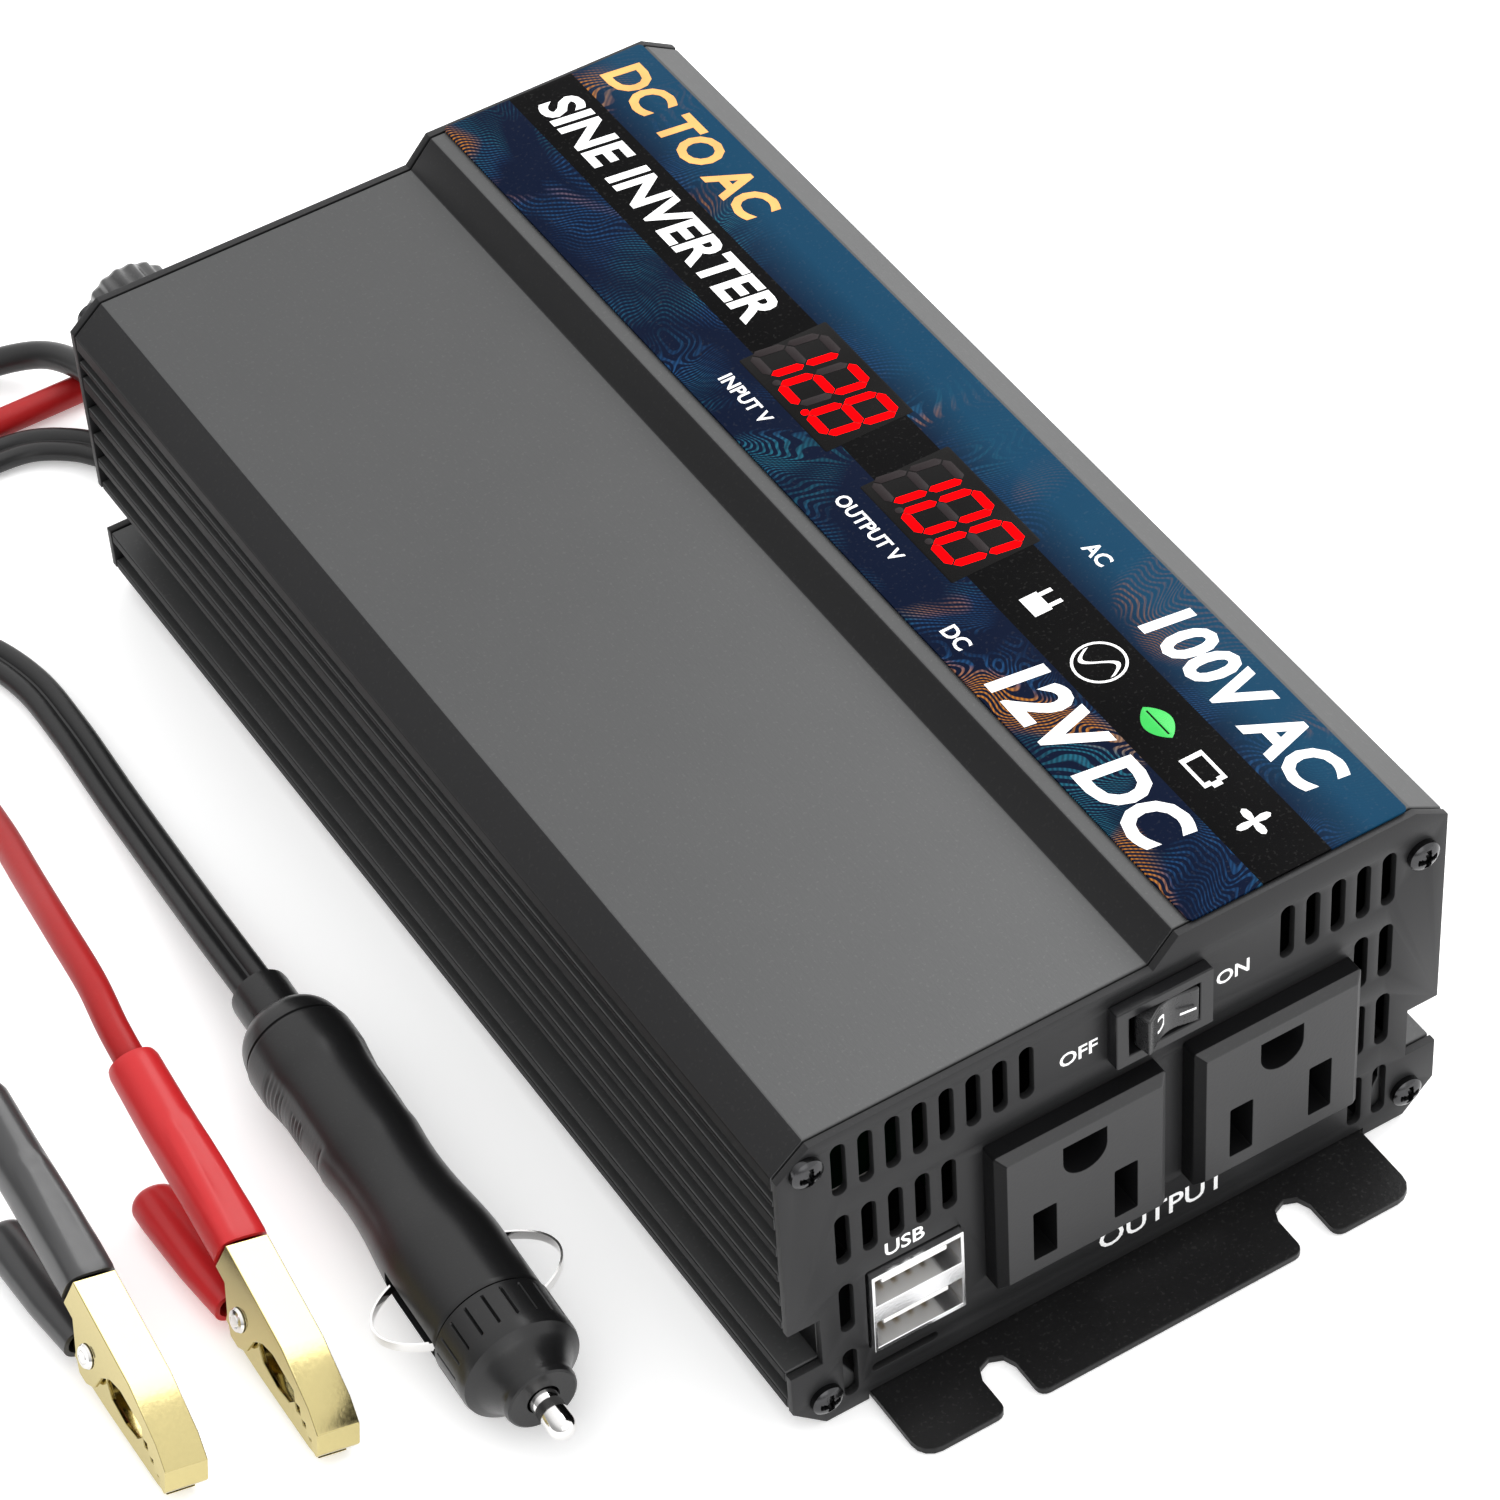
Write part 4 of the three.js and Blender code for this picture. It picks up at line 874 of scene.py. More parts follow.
# ------------------------------------------------------------------ studio
@dataclass
class Studio:
    """The camera, the pale floor and the soft light.

    The sky is bright above and to the right, and dim low on the left, as a light tent open on one side.
    """

    eye: Point = (-257.89, -473.33, 573.12)
    look: Point = (0.33538, 0.60920, -0.71861)
    roll: float = 4.19
    lens: float = 130.56
    floor: float = 6000.0
    bright_side: Point = (0.75, 0.05, 0.66)

    def camera(self) -> None:
        """Places the camera by its line of sight and its roll."""
        ahead = Vector(self.look).normalized()
        level = ahead.cross(Vector((0, 0, 1))).normalized()
        up = level.cross(ahead)
        turn = math.radians(self.roll)
        right = level * math.cos(turn) - up * math.sin(turn)
        data = bpy.data.cameras.new("camera")
        data.lens = self.lens
        data.sensor_width = 36
        data.clip_start = 0.01
        data.clip_end = 50
        eye = bpy.data.objects.new("camera", data)
        eye.matrix_world = axes(right, right.cross(ahead), -ahead, Vector(self.eye) * MM)
        bpy.context.scene.collection.objects.link(eye)
        bpy.context.scene.camera = eye

    def ground(self) -> None:
        """Lays the floor just under the object."""
        half = self.floor / 2
        corners = np.array([(-half, -half, -0.15), (half, -half, -0.15), (half, half, -0.15),
                            (-half, half, -0.15)])
        mesh = bpy.data.meshes.new("floor")
        mesh.from_pydata(metres(corners).tolist(), [], [(0, 1, 2, 3)])
        floor = bpy.data.objects.new("floor", mesh)
        bpy.context.scene.collection.objects.link(floor)
        material, graph, shader = blank_material("floor_paper")
        shader.inputs["Base Color"].default_value = (0.97, 0.97, 0.97, 1)
        shader.inputs["Emission Color"].default_value = (1, 1, 1, 1)
        shader.inputs["Emission Strength"].default_value = 0.3
        shader.inputs["Roughness"].default_value = 0.9
        shader.inputs["Specular IOR Level"].default_value = 0.1
        mesh.materials.append(material)

    def sky(self) -> None:
        """Strength = the ramp of how far a direction leans to the bright side."""
        world = bpy.data.worlds.new("studio")
        bpy.context.scene.world = world
        world.use_nodes = True
        graph = Graph(world.node_tree)
        way = graph.add("TexCoord").outputs["Generated"]
        lean = graph.add("VectorMath", {0: way, 1: self.bright_side},
                         operation="DOT_PRODUCT").outputs["Value"]
        share = graph.math("ADD", graph.math("MULTIPLY", lean, 0.5), 0.5, clamp=True)
        ramp = graph.ramp(share, [(0.0, 0.22), (0.3, 0.34), (0.5, 0.74), (0.7, 0.92), (1.0, 1.0)])
        background = world.node_tree.nodes["Background"]
        world.node_tree.links.new(ramp, background.inputs[0])
        background.inputs[1].default_value = 1.5

    def lamp(self, name: str, place: Point, target: Point, size: Pair, power: float) -> None:
        """Hangs one soft box.

        Args:
            name: the lamp's name.
            place: where it hangs, in millimetres.
            target: where it points.
            size: its width and height.
            power: its watts.
        """
        data = bpy.data.lights.new(name, "AREA")
        data.shape = "RECTANGLE"
        data.size, data.size_y = size[0] * MM, size[1] * MM
        data.energy = power
        lamp = bpy.data.objects.new(name, data)
        lamp.location = Vector(place) * MM
        lamp.rotation_mode = "QUATERNION"
        lamp.rotation_quaternion = (Vector(target) - Vector(place)).to_track_quat("-Z", "Y")
        bpy.context.scene.collection.objects.link(lamp)

    def build(self) -> None:
        """Sets up everything that isn't the object."""
        self.camera()
        self.ground()
        self.sky()
        self.lamp("right_box", (900, 250, 900), (0, 0, 20), (900, 900), 9)
        self.lamp("front_box", (-150, -1100, 500), (0, 0, 20), (700, 500), 1.5)
        bpy.context.scene.view_settings.view_transform = "Standard"
        bpy.context.scene.view_settings.look = "None"


# ------------------------------------------------------------------ leads
@dataclass
class Lead:
    """A soft lead that follows a given route, with its section carried along it."""

    name: str
    node: str
    route: tuple[Point, ...]
    section: np.ndarray
    width: float
    far_end: str
    with_pieces: tuple[str, ...]
    look: Look
    slot: str
    stiffness: str = "limp"
    lay: str = "loose"
    steps: int = 10

    def build(self) -> None:
        """Sweeps the lead and hides its CAD solid."""
        self.path = centripetal(np.array(self.route), self.steps)
        self.piece = swept(self.name, self.path, self.section, 0.06)
        install(self.piece, "case", self.look, self.slot, self.node)

    def declare(self) -> None:
        """Does nothing."""


def twin_section(width: float, height: float, count: int = 13) -> np.ndarray:
    """Two round cores side by side: each is an arc that stops short of the web between them."""
    radius = height / 2
    shift = width / 2 - radius
    open_angle = math.radians(152)
    angle = np.linspace(-open_angle, open_angle, count)
    right = radius * np.stack([np.cos(angle), np.sin(angle)], axis=-1) + [shift, 0]
    return np.vstack([right, -right])


@dataclass
class Leads:
    """The clamp leads, the twin plug lead and its two tails."""

    radius: float = 2.25
    tail: float = 1.5
    twin: Pair = (6.2, 3.1)
    red: tuple[Point, ...] = (
        (26, 109.4, 19), (26.2, 113, 14), (26.4, 119.5, 7.4), (25.6, 127, 3.4), (21.6, 134, 2.4),
        (14, 138, 2.3), (4, 138.6, 2.3), (-8, 138.4, 2.3), (-22, 138, 2.3), (-36, 138, 2.3),
        (-50, 138, 2.3), (-64, 138.4, 2.3), (-78, 138.6, 2.3), (-91, 136, 2.3), (-100, 129, 2.3),
        (-103, 118.6, 2.3), (-100.6, 107, 2.3), (-95.6, 95, 2.3), (-91.8, 82, 2.6), (-90.8, 68, 4.4),
        (-91.9, 53, 8.4), (-94.1, 37.3, 13.2), (-96.1, 22.6, 17.6), (-97.7, 8.5, 20.2), (-98.91, 0.12, 20.15),
        (-99.2, -5.35, 18.88))
    black: tuple[Point, ...] = (
        (-36, 109.4, 19), (-36, 113.6, 14.6), (-35.9, 120.4, 11), (-35.9, 129, 9), (-36.4, 137.6, 7.4),
        (-39.4, 145, 5.6), (-46, 149.8, 3.7), (-54.6, 151.6, 2.4), (-66, 152, 2.3), (-80, 152, 2.3),
        (-96, 150.6, 2.3), (-110, 145, 2.3), (-120.4, 134.4, 2.3), (-126, 120, 2.3), (-128, 103, 2.3),
        (-127.2, 86, 2.5), (-125.2, 71, 3.8), (-122.6, 57, 7.6), (-120.2, 43, 12.8), (-118.9, 29, 17.8),
        (-118.6, 15.5, 20.4), (-118.94, 6.16, 20.15), (-119.18, 0.68, 18.88))
    plug: tuple[Point, ...] = (
        (-28.7, 118, 1.8), (-33.6, 118.2, 1.8), (-38.6, 121.6, 1.8), (-43, 127, 1.8), (-49, 131, 1.8),
        (-57, 132, 1.8), (-68, 131.6, 1.8), (-78.4, 127.6, 1.8), (-84.6, 119.4, 1.8), (-84.4, 109.6, 1.8),
        (-80, 101.6, 1.8), (-75.4, 94, 1.8), (-72.6, 84, 1.8), (-72.2, 72, 1.9), (-73, 54, 2.6),
        (-74, 36, 4.6), (-75.2, 19, 7.6), (-75.7, 4.6, 8.9))
    black_tail: tuple[Point, ...] = (
        (-19, 110.6, 28.8), (-15.2, 113.4, 26.4), (-10.8, 115.6, 21.6), (-8, 116.6, 15), (-8.4, 116.8, 8.4),
        (-11.2, 116.6, 3.4), (-15.7, 116.4, 1.8))
    red_tail: tuple[Point, ...] = (
        (12.1, 110.6, 24.7), (9.6, 113.2, 21.6), (6.8, 116.4, 15.6), (4.2, 119.4, 9), (0.6, 121.6, 4.2),
        (-4.6, 121.4, 2), (-10.4, 120.4, 1.8), (-15.7, 119.6, 1.8))

    def build(self) -> None:
        """Lays all five leads."""
        self.leads: list[Lead] = []
        for colour, route, look in (("red", self.red, Look.LEAD_RED), ("black", self.black, Look.LEAD_BLACK)):
            name = f"{colour}_clamp"
            pieces = (f"{name}_upper_jaw_eased", f"{name}_lower_jaw_eased", f"{colour}_upper_grip",
                      f"{colour}_lower_grip", f"{name}_pin")
            self.leads.append(Lead(
                f"{colour}_battery_lead", f"{colour}_clamp_lead", route, circle(self.radius, 24),
                self.radius * 2,
                "tool", pieces, look, f"lead_{colour}"))
        plug = ("plug_barrel", "left_bow", "right_bow", "plug_nose", "plug_pin", "fuse_tube")
        self.leads.append(Lead("twin_lead", "plug_lead", self.plug, twin_section(*self.twin), self.twin[0],
                               "plug", plug,
                               Look.LEAD_BLACK, "lead_black"))
        for colour, route, look in (("black", self.black_tail, Look.LEAD_BLACK),
                                    ("red", self.red_tail, Look.LEAD_RED)):
            self.leads.append(Lead(
                f"{colour}_tail", f"plug_lead_{colour}_tail", route, circle(self.tail, 18), self.tail * 2,
                "fitting", ("plug_lead_split_eased",), look, f"lead_{colour}"))
        for lead in self.leads:
            lead.build()

    def declare(self) -> None:
        """Calls each lead's declare, which does nothing."""
        for lead in self.leads:
            lead.declare()


# ------------------------------------------------------------------ case
@dataclass
class Case:
    """The two shells, the feet and the screws."""

    half_width: float = 51.5
    face: float = 97.0
    head: float = 2.35
    rise: float = 1.7

    def build(self) -> None:
        """Eases the extrusions' edges and fits the screws."""
        for node in ("upper_shell", "lower_shell"):
            shell = install(eased(node, 0.28), "case", Look.CASE, "case_grey", node)
            # Painted shade: faces that lean left get a darker copy of the case grey, and faces that look down
            # or to either side get a near-black copy.
            shade(shell, Look.CASE_PAINTED_SHADE, lambda x, y, z: x < -0.3)
            shade(shell, Look.CASE_PAINTED_DEEP_SHADE, lambda x, y, z: (z < -0.3) | (np.abs(x) > 0.95))
        for node in ("front_foot", "rear_foot"):
            install(eased(node, 0.15), "case", Look.FOOT, "foot_black", node)
        for level in ("top", "bottom"):
            for side in ("left", "right"):
                node = f"front_screw_{level}_{side}"
                spot = middle(node)
                place = axes((1, 0, 0), (0, 0, 1), (0, -1, 0), (spot.x, -self.face, spot.z))
                screw = pan_screw(f"{node}_head", place, self.head, self.rise, 6.8)
                install(screw, "case", Look.SCREW, "screw_steel", node)
                rear = axes((-1, 0, 0), (0, 0, 1), (0, 1, 0), (spot.x, self.face, spot.z))
                install(pan_screw(f"rear_screw_{level}_{side}", rear, self.head, self.rise, 6.8), "case",
                        Look.SCREW, "screw_steel")


def shade(piece: bpy.types.Object, look: Look, facing: Callable[..., np.ndarray]) -> None:
    """Paints shade: gives a second, darker finish to the faces that lean one way, standing in for the shade
    on them.

    Args:
        piece: an installed piece.
        look: the second finish, a darker copy painted on as shade.
        facing: takes the normals' x, y and z and tells which faces get it.
    """
    piece.data.materials.append(WARDROBE.material(look))
    faces = piece.data.polygons
    normals = np.zeros(len(faces) * 3)
    faces.foreach_get("normal", normals)
    index = np.zeros(len(faces), dtype=np.int32)
    faces.foreach_get("material_index", index)
    index[facing(*normals.reshape(-1, 3).T)] = len(piece.data.materials) - 1
    faces.foreach_set("material_index", index)


def pan_screw(name: str, place: Matrix, head: float, rise: float, length: float) -> bpy.types.Object:
    """A pan head with a cross recess, on a short shank.

    Height = rise · sqrt(1 − 0.75 (r / head)²), less the recess where either arm of the cross runs.

    Args:
        name: the piece's name.
        place: local z runs out of the head, from the bearing face.
        head: the head's radius.
        rise: the head's height.
        length: the shank's length.

    Returns:
        The screw.
    """
    columns = 48
    radii = np.concatenate([np.linspace(0.02, head * 0.95, 14), [head]])
    angle = np.arange(columns) * math.tau / columns
    x, y = radii[:, None] * np.cos(angle), radii[:, None] * np.sin(angle)
    top = rise * np.sqrt(np.clip(1 - 0.75 * (radii / head) ** 2, 0, 1))[:, None] * np.ones(columns)
    arm, reach = 0.17 * head, 0.62 * head
    inside = ((np.abs(x) < arm) & (np.abs(y) < reach)) | ((np.abs(y) < arm) & (np.abs(x) < reach))
    top = np.where(inside, top - 0.45 * rise, top)
    dome = np.stack([x, y, top], axis=-1)
    shank = lathe([(head, 0.0), (0.85, 0.0), (0.85, -length), (0.02, -length)], columns)
    return rings(name, np.concatenate([dome, shank]), place, 40)


# ------------------------------------------------------------------ end panels
@dataclass
class EndPanels:
    """The flat end panels, cut from sheet: the front with its vents, the rear with its fan grille."""

    half: float = 51.5
    low_top: float = 55.8
    high_top: float = 60.0
    left_edge: float = 51.7
    right_edge: float = 56.9
    riser: Pair = (5.1, 9.0)
    notch: tuple[float, float, float] = (12.3, 21.4, 4.9)
    chamfer: float = 4.9
    right_chamfer: float = 5.2
    foot: Pair = (39.9, 1.5)
    thick: float = 1.2
    face: float = 97.0
    vent: float = 2.2
    pitch: float = 4.03
    left_rows: tuple[tuple[float, float, int],
                     ...] = ((43.9, 53.6, 8), (30.2, 39.7, 5), (16.3, 25.8, 1), (2.9, 12.3, 1))
    right_rows: tuple[tuple[float, float, int],
                      ...] = ((45.2, 54.9, 5), (31.3, 41.2, 2), (17.6, 27.5, 2), (3.4, 13, 2))

    def outline(self) -> np.ndarray:
        """The panel's edge, from the foot notch round to the right."""
        low, high, deep = self.notch
        right = [(self.half - self.chamfer, 0), (self.half, self.chamfer), (self.half, low),
                 (self.half - deep, low),
                 (self.half - deep, high), (self.half, high)]
        left = [(-x, z) for x, z in reversed(right)]
        width, step = self.foot
        top = [(self.half, self.right_edge), (self.half - self.right_chamfer, self.high_top),
               (self.riser[1], self.high_top), (self.riser[0], self.low_top),
               (-self.half + self.chamfer, self.low_top), (-self.half, self.left_edge)]
        return np.array([(width, 0), *right, *top, *left, (-width, 0), (-width, step), (width, step)])

    def slot(self, x: float, low: float, high: float) -> np.ndarray:
        """An upright slot with round ends."""
        radius = self.vent / 2
        turn = np.linspace(0, math.pi, 9)
        arc = radius * np.stack([np.cos(turn), np.sin(turn)], axis=-1)
        return np.vstack([arc + [x, high - radius], -arc + [x, low + radius]])

    def vents(self) -> list[np.ndarray]:
        """Every vent slot of the front panel."""
        loops = []
        for edge, inward, rows in ((-42.5, 1, self.left_rows), (42.25, -1, self.right_rows)):
            for low, high, count in rows:
                loops += [self.slot(edge + inward * i * self.pitch, low, high) for i in range(count)]
        return loops

    def front(self) -> None:
        """Cuts the front panel round its outlets, ports and switch."""
        openings = [
            opening(middle("left_outlet").x, 25.65, 12.25, 12.25),
            opening(middle("right_outlet").x, 25.65, 12.25, 12.25),
            opening(-32.25, 18.2, 7.3, 7.85), opening(5.6, 48.1, 6.75, 4.45),
            opening(-34.1, 5.95, 5.1, 0.75, 0.7)]
        screws = [circle(1.7, 20) + [x, z] for x, z in self.screw_places()]
        place = axes(*UPRIGHT_FRONT, (0, -self.face + self.thick / 2, 0))
        panel = plate("front_plate", [self.outline(), *self.vents(), *openings, *screws], self.thick, place)
        # The panel gets a darker copy of the case grey: painted shade.
        install(panel, "case", Look.PANEL, "case_grey", "front_panel")

    def screw_places(self) -> list[Pair]:
        """Where the four panel screws go."""
        return [(sign * x, z) for sign in (-1, 1) for x, z in ((47.4, 52), (46.6, 5.4))]

    def rear(self) -> None:
        """Cuts the rear panel, with ring slots in front of the fan."""
        hub = middle("fan_rotor")
        loops = [self.outline() * [-1, 1]]
        for radius in (6, 9.6, 13.2, 16.8):
            bridge = 1.6 / radius
            for quarter in range(4):
                turn = np.linspace(quarter * math.pi / 2 + bridge, (quarter + 1) * math.pi / 2 - bridge, 12)
                arc = np.stack([np.cos(turn), np.sin(turn)], axis=-1)
                loops.append(np.vstack([arc * (radius + 1.1), arc[::-1] * (radius - 1.1)]) + [-hub.x, hub.z])
        for node in ("black_post_stud", "red_post_stud"):
            loops.append(circle(4.25, 28) + [-middle(node).x, 38.5])
        screws = [(-hub.x + a * 16, hub.z + b * 16) for a in (-1, 1) for b in (-1, 1)]
        loops += [circle(1.55, 16) + [x, z] for x, z in screws]
        loops += [circle(1.7, 20) + [x, z] for x, z in self.screw_places()]
        place = axes(*UPRIGHT_REAR, (0, self.face - self.thick / 2, 0))
        # The panel gets a darker copy of the case grey: painted shade.
        install(plate("rear_plate", loops, self.thick, place), "case", Look.PANEL, "case_grey", "rear_panel")
        for index, (x, z) in enumerate(screws):
            spot = axes(*UPRIGHT_REAR, (-x, self.face, z))
            install(pan_screw(f"fan_screw_{index}", spot, 2.2, 1.3, 9), "case", Look.SCREW, "screw_steel")

    def print_front(self) -> None:
        """Prints the plain words beside the switch, the ports and the outlets."""
        for words, x, z, size in (("OFF", -9.4, 46.3, 3.4), ("ON", 14.9, 46.6, 3.4),
                                  ("USB", -36.6, 27.3, 3.6), ("OUTPUT", -3.6, 5.4, 5.2)):
            place = axes(*UPRIGHT_FRONT, (x, -self.face - 0.01, z))
            ink = lettering(f"front_print_{words.lower()}", words, size, place, 0.05)
            install(ink, "case", Look.INK_WHITE, "case_grey")

    def build(self) -> None:
        """Makes both panels and the print."""
        self.front()
        self.rear()
        self.print_front()


def opening(x: float, z: float, half: float, height: float, radius: float = 0.5) -> np.ndarray:
    """A rectangular opening with small corner radii."""
    return rounded_square(half, height, radius, 4) + [x, z]


# ------------------------------------------------------------------ outlets and ports
@dataclass
class Outlet:
    """One grounded outlet: a bevelled square face, two blade slots and a half-round earth hole."""

    side: str
    z: float = 25.65
    half: float = 13.3
    face: float = 97.0
    proud: float = 3.75

    def build(self) -> None:
        """Skins the square body, cuts its holes and adds the contacts deep inside."""
        x = middle(f"{self.side}_outlet").x
        place = axes(*UPRIGHT_FRONT, (x, -self.face, self.z))
        stack = [(12.0, -14.0, 0.6), (12.0, 0.0, 0.6), (self.half, 0.0, 0.5), (self.half, 2.6, 0.5),
                 (self.half - 1.25, self.proud, 0.3)]
        layers = [np.column_stack([rounded_square(half, half, radius), np.full(24, z)]) for half, z,
                  radius in stack]
        body = rings(f"{self.side}_outlet_body", np.array(layers), place, 25)
        cutters = []
        for sign, (low, high) in ((-1, (-9.6, -0.1)), (1, (-9.6, -0.1))):
            slot = rounded_square(1.8, (high - low) / 2, 0.25, 4) + [sign * 6.35, (low + high) / 2]
            cutters.append(prism(f"slot_{sign}", slot, -12, 9, place))
        arc = np.linspace(math.pi, math.tau, 17)
        earth = np.vstack([3.4 * np.stack([np.cos(arc), np.sin(arc)], axis=-1) + [0, 6.9],
                           [(3.4, 9.9), (-3.4, 9.9)]])
        cutters.append(prism("earth", earth, -12, 9, place))
        body = carved(body, *cutters)
        soften = body.modifiers.new("soft_edges", "BEVEL")
        soften.width, soften.segments, soften.angle_limit = 0.1 * MM, 2, math.radians(24)
        soften.use_clamp_overlap = False
        install(body, "case", Look.OUTLET, "outlet_plastic", f"{self.side}_outlet")
        # Painted shade: the sides and the faces that lean left get a near-black copy of the moulding.
        shade(body, Look.OUTLET_PAINTED_SIDE_SHADE, lambda x, y, z: (x < -0.3) | (np.abs(y) < 0.3))
        self.contacts(x)

    def contacts(self, x: float) -> None:
        """Folded brass leaves behind each slot."""
        for index, (dx, dz) in enumerate(((-6.35, -4.8), (6.35, -4.8), (0, 6.4))):
            spot = (x + dx, self.z + dz)
            leaf = block(f"{self.side}_outlet_leaf_{index}",
                         (spot[0] - 1.1, -self.face + 11.0, spot[1] - 2.6),
                         (spot[0] + 1.1, -self.face + 11.7, spot[1] + 2.6), 0.3)
            install(leaf, "case", Look.BRASS, "stud_brass")


def prism(name: str, section: np.ndarray, low: float, high: float, place: Matrix) -> bpy.types.Object:
    """A straight bar of the given section between two local heights."""
    stack = [np.column_stack([section, np.full(len(section), z)]) for z in (low, high)]
    return rings(name, np.array(stack), place)


@dataclass
class UsbPort:
    """The twin port: a folded tin shell with two white tongues and their contacts."""

    x: float = -32.25
    face: float = 97.0

    def build(self) -> None:
        """Eases the shell and lays gilt contacts on each tongue."""
        install(eased("usb_shell", 0.12), "case", Look.USB_TIN, "usb_steel", "usb_shell")
        install(eased("usb_tongues", 0.12), "case", Look.USB_TONGUE, "usb_white", "usb_tongues")
        middle_z = middle("usb_shell").z
        for level, side in (("low", -1), ("high", 1)):
            z = middle_z + side * 4.2 + 0.3
            for index in range(4):
                x = self.x + (index - 1.5) * 2.2
                strip = block(f"usb_contact_{level}_{index}", (x - 0.3, -self.face + 3, z - 0.12),
                              (x + 0.45, -self.face + 8, z - 0.01), 0.1)
                install(strip, "case", Look.BRASS, "stud_brass")


@dataclass
class RockerSwitch:
    """The switch: a framed well and a dished rocker with a ring and a bar printed on it."""

    x: float = 5.6
    z: float = 48.1
    pivot: float = -95.6
    tilt: float = 10.0

    def build(self) -> None:
        """Eases the housing, shapes the rocker and prints its marks."""
        install(eased("switch_housing", 0.25), "case", Look.SWITCH, "switch_black", "switch_housing")
        turn = Matrix.Translation((self.x, self.pivot,
                                   self.z)) @ Matrix.Rotation(math.radians(self.tilt), 4, "Z")
        span = np.linspace(-4.5, 4.5, 25)
        front = -4.5 + 1.3 * np.cos(span / 4.5 * math.pi / 2) ** 1.4
        back = [(4.5, -1.8), (2, 1.5), (-2, 1.5), (-4.5, -1.8)]
        loop = np.vstack([np.column_stack([span, front]), back])
        stack = [np.column_stack([loop, np.full(len(loop), z)]) for z in (-3.2, 3.2)]
        rocker = rings("rocker_cap", np.array(stack), turn, 30)
        soften = rocker.modifiers.new("soft_edges", "BEVEL")
        soften.width, soften.segments, soften.angle_limit = 0.3 * MM, 3, math.radians(35)
        install(rocker, "rocker", Look.ROCKER, "switch_black", "switch_rocker")
        for name, words, x, size in (("rocker_off_mark", "O", -3.4, 4.0), ("rocker_on_mark", "–", 1.5, 4.4)):
            lean = math.atan2(1.3, 4.5) * (1 if x < 0 else -1)
            spot = turn @ Matrix.Translation((x, -4.02, -1.25)) @ Matrix.Rotation(lean, 4, "Z")
            mark = lettering(name, words, size, spot @ axes(*UPRIGHT_FRONT, (0, 0, 0)), 0.06)
            install(mark, "rocker", Look.INK_WHITE, "switch_black")


# ------------------------------------------------------------------ label
class Segment(Enum):
    """The seven bars of a digit: middle (across, up), and whether it lies flat."""

    TOP = (0.0, 1.0, True)
    UPPER_RIGHT = (1.0, 0.5, False)
    LOWER_RIGHT = (1.0, -0.5, False)
    BOTTOM = (0.0, -1.0, True)
    LOWER_LEFT = (-1.0, -0.5, False)
    UPPER_LEFT = (-1.0, 0.5, False)
    CENTRE = (0.0, 0.0, True)


LIT_BARS = {
    "0": "TOP UPPER_RIGHT LOWER_RIGHT BOTTOM LOWER_LEFT UPPER_LEFT",
    "1": "UPPER_RIGHT LOWER_RIGHT",
    "2": "TOP UPPER_RIGHT CENTRE LOWER_LEFT BOTTOM",
    "8": "TOP UPPER_RIGHT LOWER_RIGHT BOTTOM LOWER_LEFT UPPER_LEFT CENTRE",
}


@dataclass
class Display:
    """A three-digit readout, read from the rear to the front."""

    name: str
    digits: str
    point: int | None
    half_width: float = 2.5
    half_height: float = 5.2
    bar: float = 1.4
    pitch: float = 7.45
    slant: float = 0.16

    def bar_points(self, segment: Segment) -> np.ndarray:
        """A six-sided bar: a strip whose ends come to a point."""
        across, up, flat = segment.value
        reach = (self.half_width if flat else self.half_height / 2) - 0.16
        tip, half = self.bar / 2, self.bar / 2
        shape = np.array([(-reach, 0), (-reach + tip, half), (reach - tip, half), (reach, 0),
                          (reach - tip, -half), (-reach + tip, -half)])
        if not flat:
            shape = shape[:, ::-1] * [1, -1]
        return shape + [across * self.half_width, up * self.half_height]

    def build(self, top: float) -> None:
        """Sets the window, the dark bars and the lit bars.

        Args:
            top: the height of the label's surface.
        """
        centre = middle(self.name)
        place = axes((0, -1, 0), (1, 0, 0), (0, 0, 1), (centre.x, centre.y, top))
        window = plate(f"{self.name}_window", [rounded_square(11.5, 7.25, 0.3, 3)], 0.04, place, 0.01)
        install(window, "case", Look.DISPLAY, "display_window")
        lit: list[np.ndarray] = []
        dark: list[np.ndarray] = []
        for index, digit in enumerate(self.digits):
            for segment in Segment:
                bars = lit if segment.name in LIT_BARS[digit].split() else dark
                shape = self.bar_points(segment)
                shape = shape + [(index - 1) * self.pitch - 0.5, 0]
                bars.append(shape + np.column_stack([shape[:, 1] * self.slant, np.zeros(6)]))
            dot = circle(0.62, 14) + [(index - 1) * self.pitch + 2.95, -self.half_height - 0.1]
            (lit if index == self.point else dark).append(dot)
        over = place @ Matrix.Translation((0, 0, 0.03))
        install(plate(f"{self.name}_lit", lit, 0.02, over, 0.004), "case", Look.LIT, "display_window")
        install(plate(f"{self.name}_unlit", dark[:-1], 0.02, over, 0.004), "case", Look.UNLIT,
                "display_window")
        dress_node(self.name, Look.DISPLAY)


